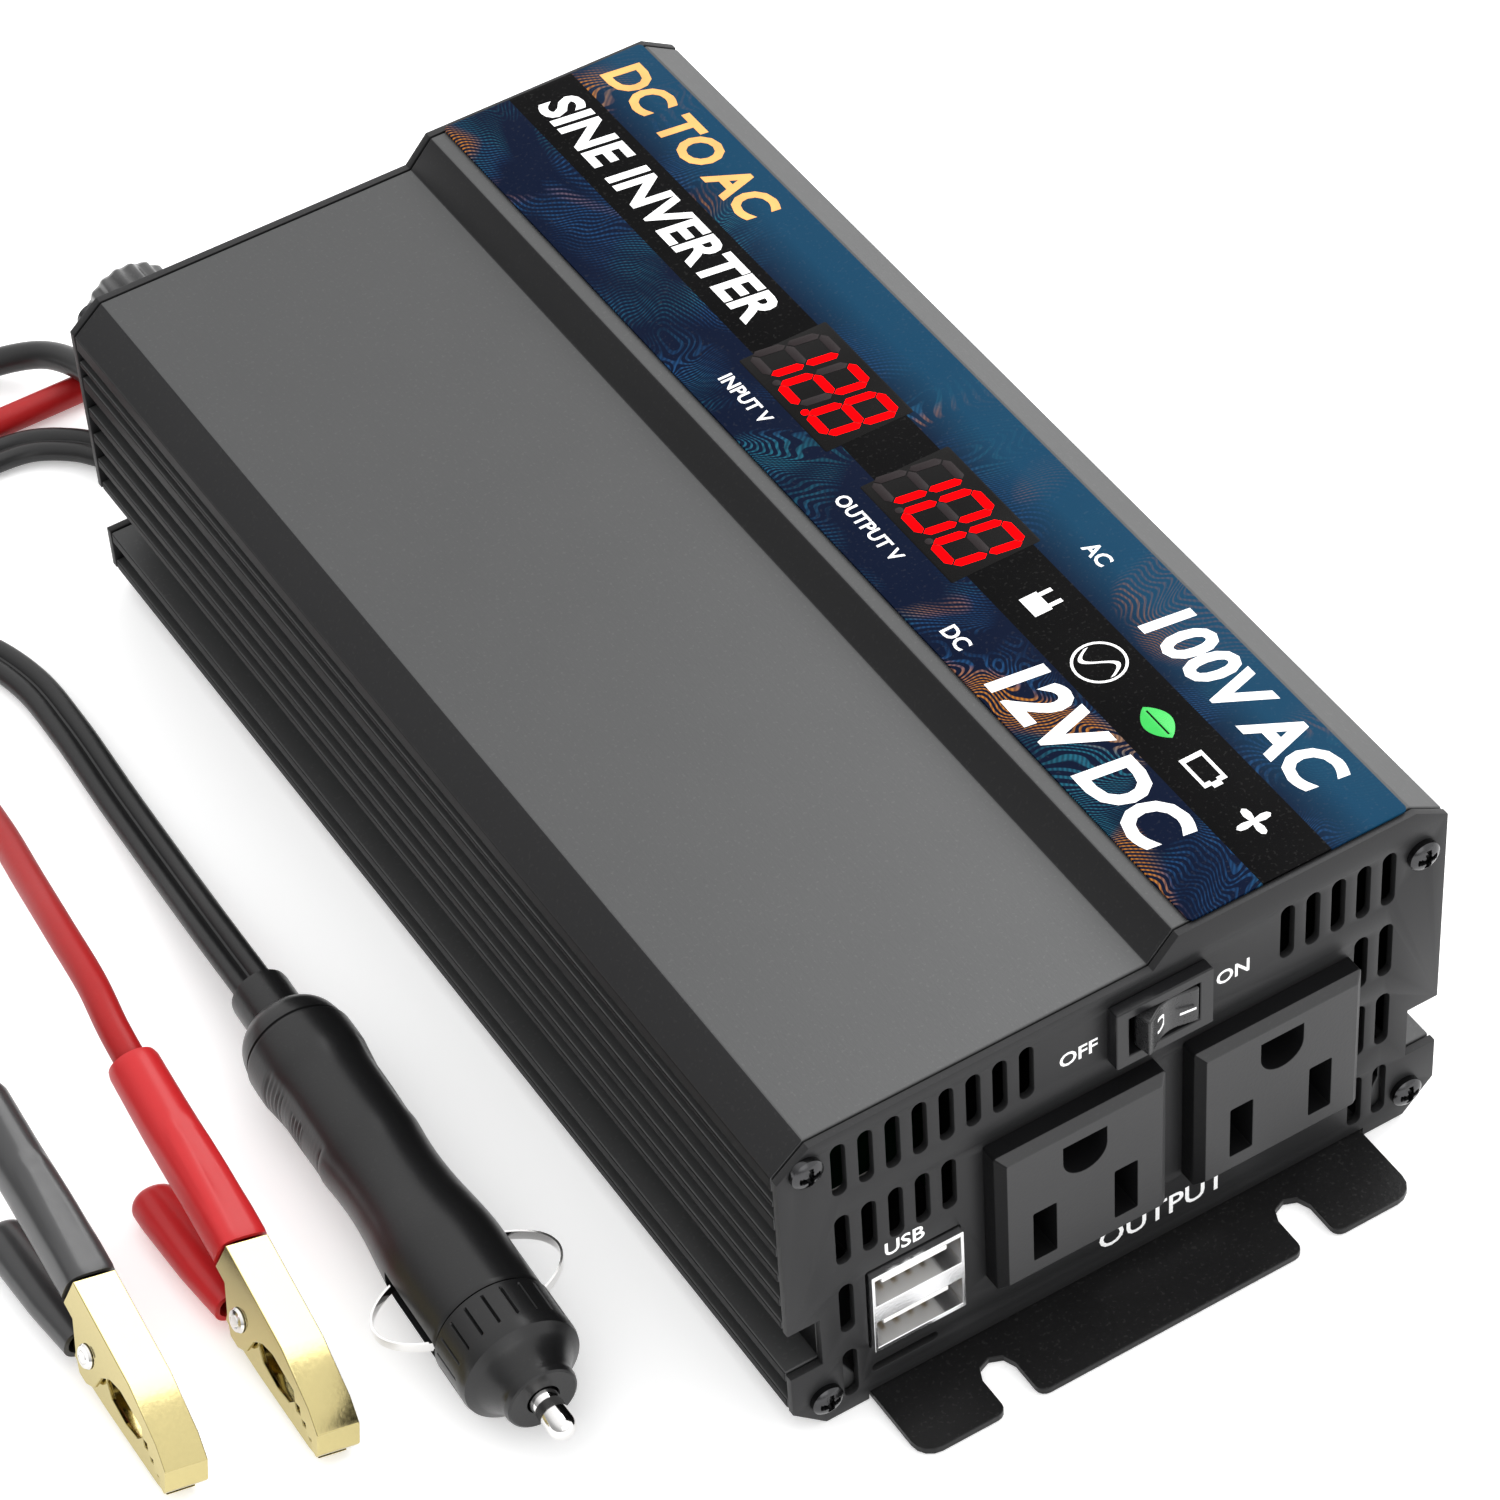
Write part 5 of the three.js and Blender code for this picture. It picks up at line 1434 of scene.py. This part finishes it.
@dataclass
class LabelPlate:
    """The printed sheet on the raised side: picture, band, plain words, pictograms and two readouts."""

    low: Pair = (11.4, -96.0)
    high: Pair = (45.7, 96.0)
    base: float = 60.1
    top: float = 60.44
    words: tuple[tuple[str, str, float, float, float, Look], ...] = (
        ("label_title", "SINE INVERTER", 25.4, 92.4, 8.8, Look.INK_WHITE),
        ("label_heading", "DC TO AC", 37.0, 93.4, 8.6, Look.INK_AMBER),
        ("label_input", "INPUT V", 15.9, 25.6, 3.1, Look.INK_WHITE),
        ("label_output", "OUTPUT V", 15.9, -4.6, 3.1, Look.INK_WHITE),
        ("label_dc", "DC", 13.9, -34.2, 3.4, Look.INK_WHITE),
        ("label_ac", "AC", 38.4, -32.0, 3.4, Look.INK_WHITE),
        ("label_twelve", "12V DC", 13.6, -44.2, 11.6, Look.INK_WHITE),
        ("label_hundred", "100V AC", 36.4, -47.0, 10.4, Look.INK_WHITE),
    )

    def reading(self, x: float, y: float) -> Matrix:
        """Axes for print that reads from the rear to the front."""
        return axes((0, -1, 0), (1, 0, 0), (0, 0, 1), (x, y, self.top + 0.012))

    def pictograms(self) -> None:
        """A plug, a wave, a leaf, a battery and a fan blade, as plain flat shapes down the band."""
        turn = np.linspace(0, math.tau, 33)[:-1]
        wave_x = np.linspace(-3.2, 3.2, 25)
        wave = np.vstack([
            np.column_stack([wave_x, np.sin(wave_x / 3.2 * math.pi) * 1.9 + 0.35]),
            np.column_stack([wave_x, np.sin(wave_x / 3.2 * math.pi) * 1.9 - 0.35])[::-1]])
        leaf_x = np.linspace(-3.4, 3.4, 17)
        swell = 2.1 * np.cos(leaf_x / 3.4 * math.pi / 2) ** 0.8
        leaf = np.vstack([np.column_stack([leaf_x, swell]), np.column_stack([leaf_x, -swell])[::-1]])
        plug = np.array([(-2, -2.2), (2, -2.2), (2, 0.6), (1.6, 0.6), (1.6, 2.6), (0.9, 2.6), (0.9, 0.6),
                         (-0.9, 0.6),
                         (-0.9, 2.6), (-1.6, 2.6), (-1.6, 0.6), (-2, 0.6)])
        cell = np.array([(-3, -1.8), (3, -1.8), (3, -0.7), (3.6, -0.7), (3.6, 0.7), (3, 0.7), (3, 1.8),
                         (-3, 1.8)])
        fan = np.stack([np.cos(turn), np.sin(turn)], axis=-1) * (1.6 + 1.1 * np.cos(turn * 4))[:, None]
        vein = np.array([(-2.6, -0.14), (2.6, -0.14), (2.6, 0.14), (-2.6, 0.14)])
        shapes = (
            ("plug", [plug], -37.5, Look.INK_WHITE),
            ("wave", [circle(3.9, 32), circle(3.5, 32), wave], -51.4, Look.INK_WHITE),
            ("leaf", [leaf, vein], -64.9, Look.INK_GREEN),
            ("battery", [cell, cell * 0.72], -75.2, Look.INK_WHITE),
            ("fan", [fan], -86.5, Look.INK_WHITE))
        for name, loops, y, look in shapes:
            place = self.reading(28.1, y)
            install(plate(f"pictogram_{name}", loops, 0.02, place, 0.004), "case", look, "label_print")

    def build(self) -> None:
        """Lays the sheet and everything printed on it."""
        half = (np.array(self.high) - self.low) / 2
        place = axes((1, 0, 0), (0, 1, 0), (0, 0, 1), (self.low[0] + half[0], 0, (self.base + self.top) / 2))
        sheet = plate("label_face", [rounded_square(half[0], half[1], 0.8, 5)], self.top - self.base, place,
                      0.05)
        install(sheet, "case", Look.LABEL, "label_print", "label_sheet")
        for name, words, x, y, size, look in self.words:
            weight = 0.032 * size if size > 5 else 0.02 * size
            print_ = lettering(name, words, size, self.reading(x, y), weight, 0.14 if size > 5 else 0.0)
            install(print_, "case", look, "label_print")
        self.pictograms()
        Display("input_display", "128", 1).build(self.top)
        Display("output_display", "100", None).build(self.top)


# ------------------------------------------------------------------ inside
@dataclass
class Electronics:
    """The board with its transformer, capacitors, transistors, choke and fuses, seen through the vents."""

    board_top: float = 10.3

    def build(self) -> None:
        """Dresses the CAD parts and adds the small ones."""
        for node, look in (("main_board", Look.BOARD), ("display_board", Look.BOARD),
                           ("transformer_core", Look.FERRITE),
                           ("transformer_winding", Look.COPPER), ("large_capacitor", Look.SLEEVE)):
            dress_node(node, look)
        z = self.board_top
        for index, (x, y, radius,
                    tall) in enumerate(((-28, -58, 5, 20), (-14, -62, 5, 20), (2, -60, 4, 16),
                                        (-30, 60, 6, 25), (-16, 62, 6, 25), (34, 56, 5, 20))):
            place = axes((1, 0, 0), (0, 1, 0), (0, 0, 1), (x, y, z))
            can = turned(f"capacitor_{index}",
                         [(0.01, 0), (radius, 0), (radius, 1.2), (radius - 0.25, 1.6), (radius, 2.2),
                          (radius, tall - 0.6), (radius - 0.6, tall), (0.01, tall - 0.2)], place, 32)
            install(can, "case", Look.SLEEVE, "capacitor_sleeve")
        for index in range(8):
            side = -1 if index < 4 else 1
            y = -30 + (index % 4) * 24
            tab = block(f"transistor_{index}", (side * 40.6 - 0.9, y - 5, z + 2),
                        (side * 40.6 + 0.9, y + 5, z + 17), 0.5)
            install(tab, "case", Look.SLEEVE, "capacitor_sleeve")
        ring = axes((1, 0, 0), (0, 0, 1), (0, -1, 0), (10, -22, z + 10))
        angle = np.linspace(0, math.tau, 21)[:-1]
        loop = [(6.5 + 3 * math.cos(a), 3.4 * math.sin(a)) for a in angle]
        install(turned("choke", [*loop, loop[0]], ring, 40), "case", Look.COPPER, "winding_copper")
        for index in range(3):
            fuse = block(f"board_fuse_{index}", (-6 + index * 9, 68, z), (-1 + index * 9, 75, z + 10), 0.6)
            install(fuse, "case", Look.POST_RED, "post_red")


@dataclass
class Fan:
    """The cooling fan behind the rear grille."""

    blades: int = 7
    bore: float = 17.2
    hub: float = 9.0
    depth: float = 6.8

    def build(self) -> None:
        """Eases the frame and twists the blades from the hub to the tips."""
        install(eased("fan_frame", 0.3), "case", Look.FAN, "fan_black", "fan_frame")
        spot = middle("fan_rotor")
        place = axes((1, 0, 0), (0, 0, 1), (0, -1, 0), (spot.x, spot.y, spot.z))
        half = self.depth / 2
        hub = [(0.01, -half), (self.hub - 0.8, -half), (self.hub, -half + 0.8), (self.hub, half - 0.8),
               (self.hub - 0.8, half), (0.01, half)]
        rotor = turned("fan_hub", hub, place, 48)
        install(rotor, "fan", Look.FAN, "fan_black", "fan_rotor")
        for index in range(self.blades):
            blade = self.blade(index * math.tau / self.blades, place, f"fan_blade_{index}")
            install(blade, "fan", Look.FAN, "fan_black")

    def blade(self, start: float, place: Matrix, name: str) -> bpy.types.Object:
        """A twisted blade: at radius r it covers an arc whose height falls from one side to the other."""
        radius = np.linspace(self.hub - 0.4, self.bore, 7)[:, None]
        along = np.linspace(-0.5, 0.5, 9)[None, :]
        sweep = 0.62 + 0.1 * (radius - self.hub) / 8
        angle = start + along * sweep + 0.12 * (radius - self.hub) / 8
        lift = -along * (5.6 - 0.12 * (radius - self.hub))
        upper = np.stack([radius * np.cos(angle), radius * np.sin(angle), lift + 0.4 + 0 * radius], axis=-1)
        lower = upper - [0, 0, 0.8]
        loop = np.concatenate([upper, lower[:, ::-1]], axis=1)
        return rings(name, loop, place, 50)


# ------------------------------------------------------------------ binding posts
@dataclass
class BindingPost:
    """A post at the rear: moulded base, brass stud, washer, fluted knob and two ring terminals."""

    colour: str
    flutes: int = 18

    def build(self) -> None:
        """Turns the parts of one post."""
        spot = middle(f"{self.colour}_post_stud")
        look = Look.POST_RED if self.colour == "red" else Look.POST_BLACK
        place = axes((-1, 0, 0), (0, 0, 1), (0, 1, 0), (spot.x, 0, spot.z))
        install(eased(f"{self.colour}_post_base", 0.3), "case", look, f"post_{self.colour}",
                f"{self.colour}_post_base")
        self.knob(place, look)
        thread = [(0.01, 81.2), (2.6, 81.2), (3, 81.8), (3, 89.8), (5.9, 89.9), (5.9, 93.1), (3, 93.2)]
        crests = np.arange(101.4, 110.0, 0.5)
        thread += [(3.0 if i % 2 == 0 else 2.66, float(y)) for i, y in enumerate(crests)]
        thread += [(2.2, 110.8), (0.01, 111.0)]
        stud = turned(f"{self.colour}_stud", thread, place, 28)
        install(stud, "case", Look.BRASS, "stud_brass", f"{self.colour}_post_stud")
        washer = turned(f"{self.colour}_washer_ring",
                        [(3.35, 104.0), (6.1, 104.0), (6.2, 104.2), (6.2, 104.9), (6.1, 105.1),
                         (3.35, 105.1), (3.35, 104.0)], place, 40)
        install(washer, f"{self.colour}_washer", Look.TIN, "terminal_tin", f"{self.colour}_post_washer")
        for end in ("clamp", "plug"):
            install(eased(f"{self.colour}_{end}_terminal", 0.15), "case", Look.TIN, "terminal_tin",
                    f"{self.colour}_{end}_terminal")

    def knob(self, place: Matrix, look: Look) -> None:
        """Fluted side: radius = profile · (1 + 0.042 · share · cos(flutes · angle)).

        The end is dished, and the bore is blind.
        """
        base = 105.4
        profile = [(3.35, base), (6.4, base), (7.0, base + 0.5), (7.15, base + 1.2), (7.15, base + 6.2),
                   (6.8, base + 7.0), (6.0, base + 7.5), (4.6, base + 7.4), (4.0, base + 7.1),
                   (0.01, base + 7.0)]
        points = lathe(profile, self.flutes * 8)
        angle = np.arange(self.flutes * 8) * math.tau / (self.flutes * 8)
        share = np.array([0, 0, 0.5, 1, 1, 0.6, 0, 0, 0, 0])[:, None]
        gain = 1 + share * 0.042 * np.cos(self.flutes * angle)[None]
        points[..., :2] *= gain[..., None]
        bore = lathe([(0.01, base + 5.9), (3.35, base + 5.9)], self.flutes * 8)
        grid = np.concatenate([bore, points])
        rows = len(grid)
        knob = solid(f"{self.colour}_knob_cap", metres(grid, place), grid_faces(rows, self.flutes * 8), 40)
        install(knob, f"{self.colour}_knob", look, f"post_{self.colour}", f"{self.colour}_post_knob")


# ------------------------------------------------------------------ vehicle plug
@dataclass
class VehiclePlug:
    """The plug on the twin lead: moulded body, bowed side contacts, ribbed cap and sprung tip."""

    origin: Point = (-75.7, 4.2, 8.95)
    yaw: float = -1.9

    def __post_init__(self) -> None:
        """Sets local x to the right, y up and z forward along the plug."""
        yaw = math.radians(self.yaw)
        ahead = Vector((math.sin(yaw), -math.cos(yaw), 0))
        right = Vector((math.cos(yaw), math.sin(yaw), 0))
        self.place = axes(right, right.cross(ahead) * -1, ahead, self.origin)

    def build(self) -> None:
        """Makes every piece of the plug."""
        self.body()
        self.cap()
        self.contact("left", -1)
        self.contact("right", 1)
        self.tip()

    def body(self) -> None:
        """Body: r(u) from a smooth profile. The flanks carry fine cross ribs.

        Ribs = −0.1 − 0.07 · (1 + cos(2πu / 0.92)), on the flanks only.
        """
        neck = [(0.01, 0), (3.9, 0), (4.3, 0.3), (4.4, 1.0), (4.4, 7.2)]
        shoulder = softened([(4.5, 7.3), (5.8, 7.7), (7.1, 9.3), (7.65, 11.2), (7.8, 12.2)], 5)
        seam = [(7.55, 12.35), (7.6, 12.75), (8.05, 12.9)]
        barrel = softened([(8.1, 13.2), (8.15, 16), (8.1, 18.5), (7.75, 22), (7.65, 28), (7.6, 34),
                           (7.35, 38), (7.3, 42),
                           (7.6, 47), (8.1, 51.5), (8.45, 55.5), (8.5, 62), (8.5, 68.9)], 14)
        end = [(8.35, 69.2), (5, 69.2), (5, 26), (0.01, 26)]
        profile = np.vstack([neck, shoulder, seam, barrel, end])
        columns = 96
        points = lathe(profile, columns)
        angle = np.arange(columns) * math.tau / columns
        u = profile[:, 1][:, None]
        flank = np.clip((np.abs(np.cos(angle))[None] - 0.8) / 0.08, 0, 1)
        reach = np.clip(np.minimum(u - 17.5, 34 - u) / 0.8, 0, 1) * (profile[:, 0][:, None] > 6)
        press = 0.14 * flank * reach * (1 + np.cos(u * math.tau / 0.92)) / 2 + 0.1 * flank * reach
        scale = 1 - press / np.maximum(profile[:, 0][:, None], 1)
        points[..., :2] *= scale[..., None]
        body = rings("plug_barrel", points, self.place, 30)
        cutters = []
        for sign in (-1, 1):
            low, high = sorted((sign * 3.2, sign * 12))
            section = np.array([(low, -1.5), (high, -1.5), (high, 1.5), (low, 1.5)])
            cutters.append(prism(f"contact_slot_{sign}", section, 54.8, 72, self.place))
        install(carved(body, *cutters), "case", Look.PLUG, "plug_black", "plug_body")
        fuse = [(0.01, 44), (2.9, 44), (3, 44.3), (3, 50), (2.85, 50.2), (2.85, 65.8), (3, 66), (3, 71.7),
                (2.9, 72), (0.01, 72)]
        install(turned("fuse_tube", fuse, self.place, 36), "fuse", Look.NICKEL, "contact_nickel", "plug_fuse")

    def cap(self) -> None:
        """Cap: a ring cut by twenty short grooves, and a hollow nose."""
        start = 69.5
        nose = softened([(7.9, start + 8.6), (7.0, start + 9.3), (6.0, start + 10.6), (5.35, start + 12.2),
                         (5.3, start + 13.2)], 6)
        profile = np.vstack([
            [(5.2, start), (8.5, start), (8.7, start + 0.2), (8.7, start + 0.9), (8.7, start + 1.1),
             (8.7, start + 5.9), (8.7, start + 6.1),
             (8.7, start + 7.5), (8.5, start + 8.2)], nose,
            [(5.1, start + 13.8), (4.8, start + 14), (2.4, start + 14), (2.4, start + 10), (5.2, start + 8),
             (5.2, start)]])
        columns = 240
        points = lathe(profile, columns)
        angle = np.arange(columns) * 360 / columns
        groove = (np.abs((angle % 18) / 18 - 0.5) < 0.07).astype(float)
        rows = np.isin(np.arange(len(profile)), (4, 5)).astype(float)
        cut = 0.4 * groove[None] * rows[:, None]
        points[..., :2] *= (1 - cut / np.maximum(profile[:, 0], 1)[:, None])[..., None]
        piece = solid("plug_nose", metres(points, self.place), grid_faces(len(profile), columns), 30)
        install(piece, "cap", Look.PLUG, "plug_black", "plug_cap")

    def contact(self, side: str, sign: int) -> None:
        """A bowed strip: its distance from the axis is 6.9 + 6.9 · sin(πt)^0.72."""
        t = np.linspace(0, 1, 49)
        u = 56.2 + t * 12.2 - 0.2 * np.sin(t * math.tau)
        reach = 6.9 + 6.9 * np.sin(math.pi * t) ** 0.72
        path = np.stack([sign * reach, 0 * t, u], axis=-1)
        step = np.gradient(path, axis=0)
        out = np.stack([step[:, 2], 0 * t, -step[:, 0]], axis=-1)
        out /= np.linalg.norm(out, axis=1)[:, None]
        across = np.array([0, 1.0, 0])
        section = [(-0.16, -0.8), (0.16, -0.8), (0.2, 0), (0.16, 0.8), (-0.16, 0.8), (-0.2, 0)]
        points = np.stack([path + a * out + b * across for a, b in section], axis=1)
        strip = rings(f"{side}_bow", points, self.place, 40)
        install(strip, f"{side}_contact", Look.NICKEL, "contact_nickel", f"plug_{side}_contact")

    def tip(self) -> None:
        """A stepped pin with a round end."""
        profile = [(0.01, 76.2), (3.5, 76.2), (3.6, 76.4), (3.6, 77.2), (2.05, 77.4), (2.05, 84.6),
                   (1.95, 84.8), (1.95, 85.1), (2.05, 85.3), (2.05, 88.4)]
        turn = np.linspace(0, math.pi / 2, 8)[1:-1]
        dome = [(2.05 * math.cos(a), 88.4 + 2.0 * math.sin(a)) for a in turn]
        install(turned("plug_pin", [*profile, *dome, (0.01, 90.4)], self.place, 40), "tip", Look.NICKEL,
                "contact_nickel", "plug_tip")


# ------------------------------------------------------------------ battery clamps
@dataclass
class BatteryClamp:
    """One clamp, resting on its jaw tip and its handle.

    Local x runs from the cable to the jaw tip, and y toward the upper handle.
    """

    colour: str
    origin: Point
    yaw: float
    pitch: float = 14.0
    roll: float = 72.0
    rivet: Pair = (40.6, -2.2)
    sleeve: float = 32.4
    root: Pair = (37.6, -6.2)
    handle_angle: float = 16.0

    def __post_init__(self) -> None:
        """Works out the clamp's axes from its yaw, pitch and roll."""
        yaw, pitch, roll = (math.radians(a) for a in (self.yaw, self.pitch, self.roll))
        level = Vector((math.cos(yaw), math.sin(yaw), 0))
        ahead = Vector((math.sin(yaw) * math.cos(pitch), -math.cos(yaw) * math.cos(pitch), -math.sin(pitch)))
        up = ahead.cross(level)
        across = level * math.cos(roll) + up * math.sin(roll)
        self.place = axes(ahead, across, ahead.cross(across), self.origin)
        turn = Matrix.Rotation(math.radians(self.handle_angle), 4, "Z")
        self.low = self.place @ Matrix.Translation((*self.root, 0)) @ turn

    def build(self) -> None:
        """Makes the jaws, the grips and the rivet."""
        look = Look.SLEEVE_RED if self.colour == "red" else Look.SLEEVE_BLACK
        name = f"{self.colour}_clamp"
        install(eased(f"{name}_upper_jaw", 0.18, 2, 20), "case", Look.GOLD, "clamp_gold", f"{name}_upper_jaw")
        install(eased(f"{name}_lower_jaw", 0.15, 2, 20), f"{self.colour}_jaw", Look.GOLD, "clamp_gold",
                f"{name}_lower_jaw")
        install(self.upper_grip(), "case", look, f"sleeve_{self.colour}", f"{name}_upper_sleeve")
        install(self.lower_grip(), f"{self.colour}_jaw", look, f"sleeve_{self.colour}",
                f"{name}_lower_sleeve")
        place = self.place @ Matrix.Translation((*self.rivet, 0))
        half = 3.36
        head = [(0.01, 0.65), (0.8, 0.6), (0.95, 0.42), (1.05, 0.54), (1.55, 0.42), (1.8, 0.08), (1.8, 0),
                (1.2, 0)]
        pin = [(r, -half - rise) for r, rise in head] + [(r, half + rise) for r, rise in reversed(head)]
        install(turned(f"{name}_pin", pin, place, 36), "case", Look.NICKEL, "clamp_rivet", f"{name}_rivet")

    def section(self, half_height: float, half_width: float, power: float, count: int = 48) -> np.ndarray:
        """A superellipse |y/a|^p + |z/b|^p = 1, as (y, z) pairs."""
        turn = np.arange(count) * math.tau / count
        c, s = np.cos(turn), np.sin(turn)
        return np.stack([np.sign(s) * half_height * np.abs(s) ** (2 / power),
                         np.sign(c) * half_width * np.abs(c) ** (2 / power)], axis=-1)

    def upper_grip(self) -> bpy.types.Object:
        """The upper sleeve: round over the cable, flat and wide over the handle.

        The handle's lobes press through it.

        Returns:
            The sleeve, hollow to the jaw.
        """
        stations = [0, 11, 22, self.sleeve]
        knots = softened([(0, 0), (11, 0.5), (22, 1.4), (self.sleeve, 1.8)], 14)
        u, w = knots[:, 0], knots[:, 1]
        share = np.interp(u, stations, [0, 0.15, 0.7, 1])
        tall = np.interp(u, [0, 0.5, *stations[1:]], [3.5, 3.7, 3.75, 3.3, 2.95])
        wide = np.interp(u, [0, 0.5, *stations[1:]], [3.5, 3.7, 3.75, 3.7, 3.7])
        layers = []
        for i in range(len(u)):
            ring = self.section(tall[i], wide[i], 2 + 1.6 * share[i])
            layers.append(np.column_stack([np.full(len(ring), u[i]), w[i] + ring[:, 0], ring[:, 1]]))
        points = np.array(layers)
        points = self.emboss(points)
        wall = 0.75
        inner = []
        for i in range(len(u) - 1, -1, -6):
            if u[i] < 12.6:
                break
            ring = self.section(tall[i] - wall, wide[i] - wall, 2 + 1.6 * share[i])
            inner.append(np.column_stack([np.full(len(ring), u[i]), w[i] + ring[:, 0], ring[:, 1]]))
        return rings(f"{self.colour}_upper_grip", np.concatenate([points, np.array(inner)]), self.place, 40)

    def emboss(self, points: np.ndarray) -> np.ndarray:
        """Lifts the sleeve where the handle's two rounded lobes lie under it.

        Lift = 0.22 · smooth step of how far a point is inside either lobe.
        """
        u, z = points[..., 0], points[..., 2]
        upper = points[..., 1] > 0
        lobe = np.zeros_like(u)
        for side in (-1, 1):
            inside = 1 - (((z - side * 1.7) / 1.4) ** 2 + (np.clip(16.5 - u, 0, 99) / 4.5) ** 2)
            lobe = np.maximum(lobe, np.clip(inside * 3, 0, 1))
        groove = np.clip((u - 19) / 3, 0, 1) * np.clip((0.9 - np.abs(z)) / 0.5, 0, 1)
        lift = 0.2 * np.maximum(lobe, np.clip((u - 24) / 4, 0, 1)) - 0.16 * groove
        points[..., 1] += lift * upper * (u < self.sleeve - 0.4)
        return points

    def lower_grip(self) -> bpy.types.Object:
        """The lower sleeve: a blunt round end, slightly flattened where the handle lies.

        Returns:
            The sleeve, hollow at its jaw end.
        """
        t = np.linspace(0, 1, 25)
        u = -1.4 - t * 21.7
        tall = np.interp(t, [0, 0.4, 0.9, 1], [2.4, 2.8, 3.1, 3.05])
        wide = np.interp(t, [0, 0.4, 0.9, 1], [3.2, 3.75, 3.75, 3.65])
        turn = np.linspace(0, math.pi / 2, 9)[1:]
        u = np.concatenate([u, -23.1 - 2.1 * np.sin(turn)])
        tall = np.concatenate([tall, 3.05 * np.maximum(np.cos(turn) ** 0.6, 0.02)])
        wide = np.concatenate([wide, 3.65 * np.maximum(np.cos(turn) ** 0.6, 0.02)])
        layers = []
        for depth, a, b in ((-12.0, 1.7, 2.5), (-1.4, 1.7, 2.5)):
            ring = self.section(a, b, 2.6)
            layers.append(np.column_stack([np.full(len(ring), depth), ring]))
        for i in range(len(u)):
            ring = self.section(tall[i], wide[i], 2.5 - 0.4 * min(1, i / 24))
            layers.append(np.column_stack([np.full(len(ring), u[i]), ring]))
        return rings(f"{self.colour}_lower_grip", np.array(layers), self.low, 40)


# ------------------------------------------------------------------ the whole
def split_sleeve() -> None:
    """Dresses the sleeve where the twin lead divides."""
    install(eased("plug_lead_split", 0.35, 3), "case", Look.LEAD_BLACK, "lead_black", "plug_lead_split")


def main() -> None:
    """Builds the studio, the leads and then each sub-assembly."""
    logging.basicConfig(level=logging.INFO, format="%(name)s: %(message)s")
    Studio().build()
    leads = Leads()
    leads.build()
    split_sleeve()
    Case().build()
    EndPanels().build()
    for side in ("left", "right"):
        Outlet(side).build()
    UsbPort().build()
    RockerSwitch().build()
    LabelPlate().build()
    Electronics().build()
    Fan().build()
    for colour in ("red", "black"):
        BindingPost(colour).build()
    VehiclePlug().build()
    BatteryClamp("red", (-99.22, -5.69, 18.8), -3.06).build()
    BatteryClamp("black", (-119.19, 0.34, 18.8), -2.42).build()
    leads.declare()


if __name__ == "__main__":
    main()
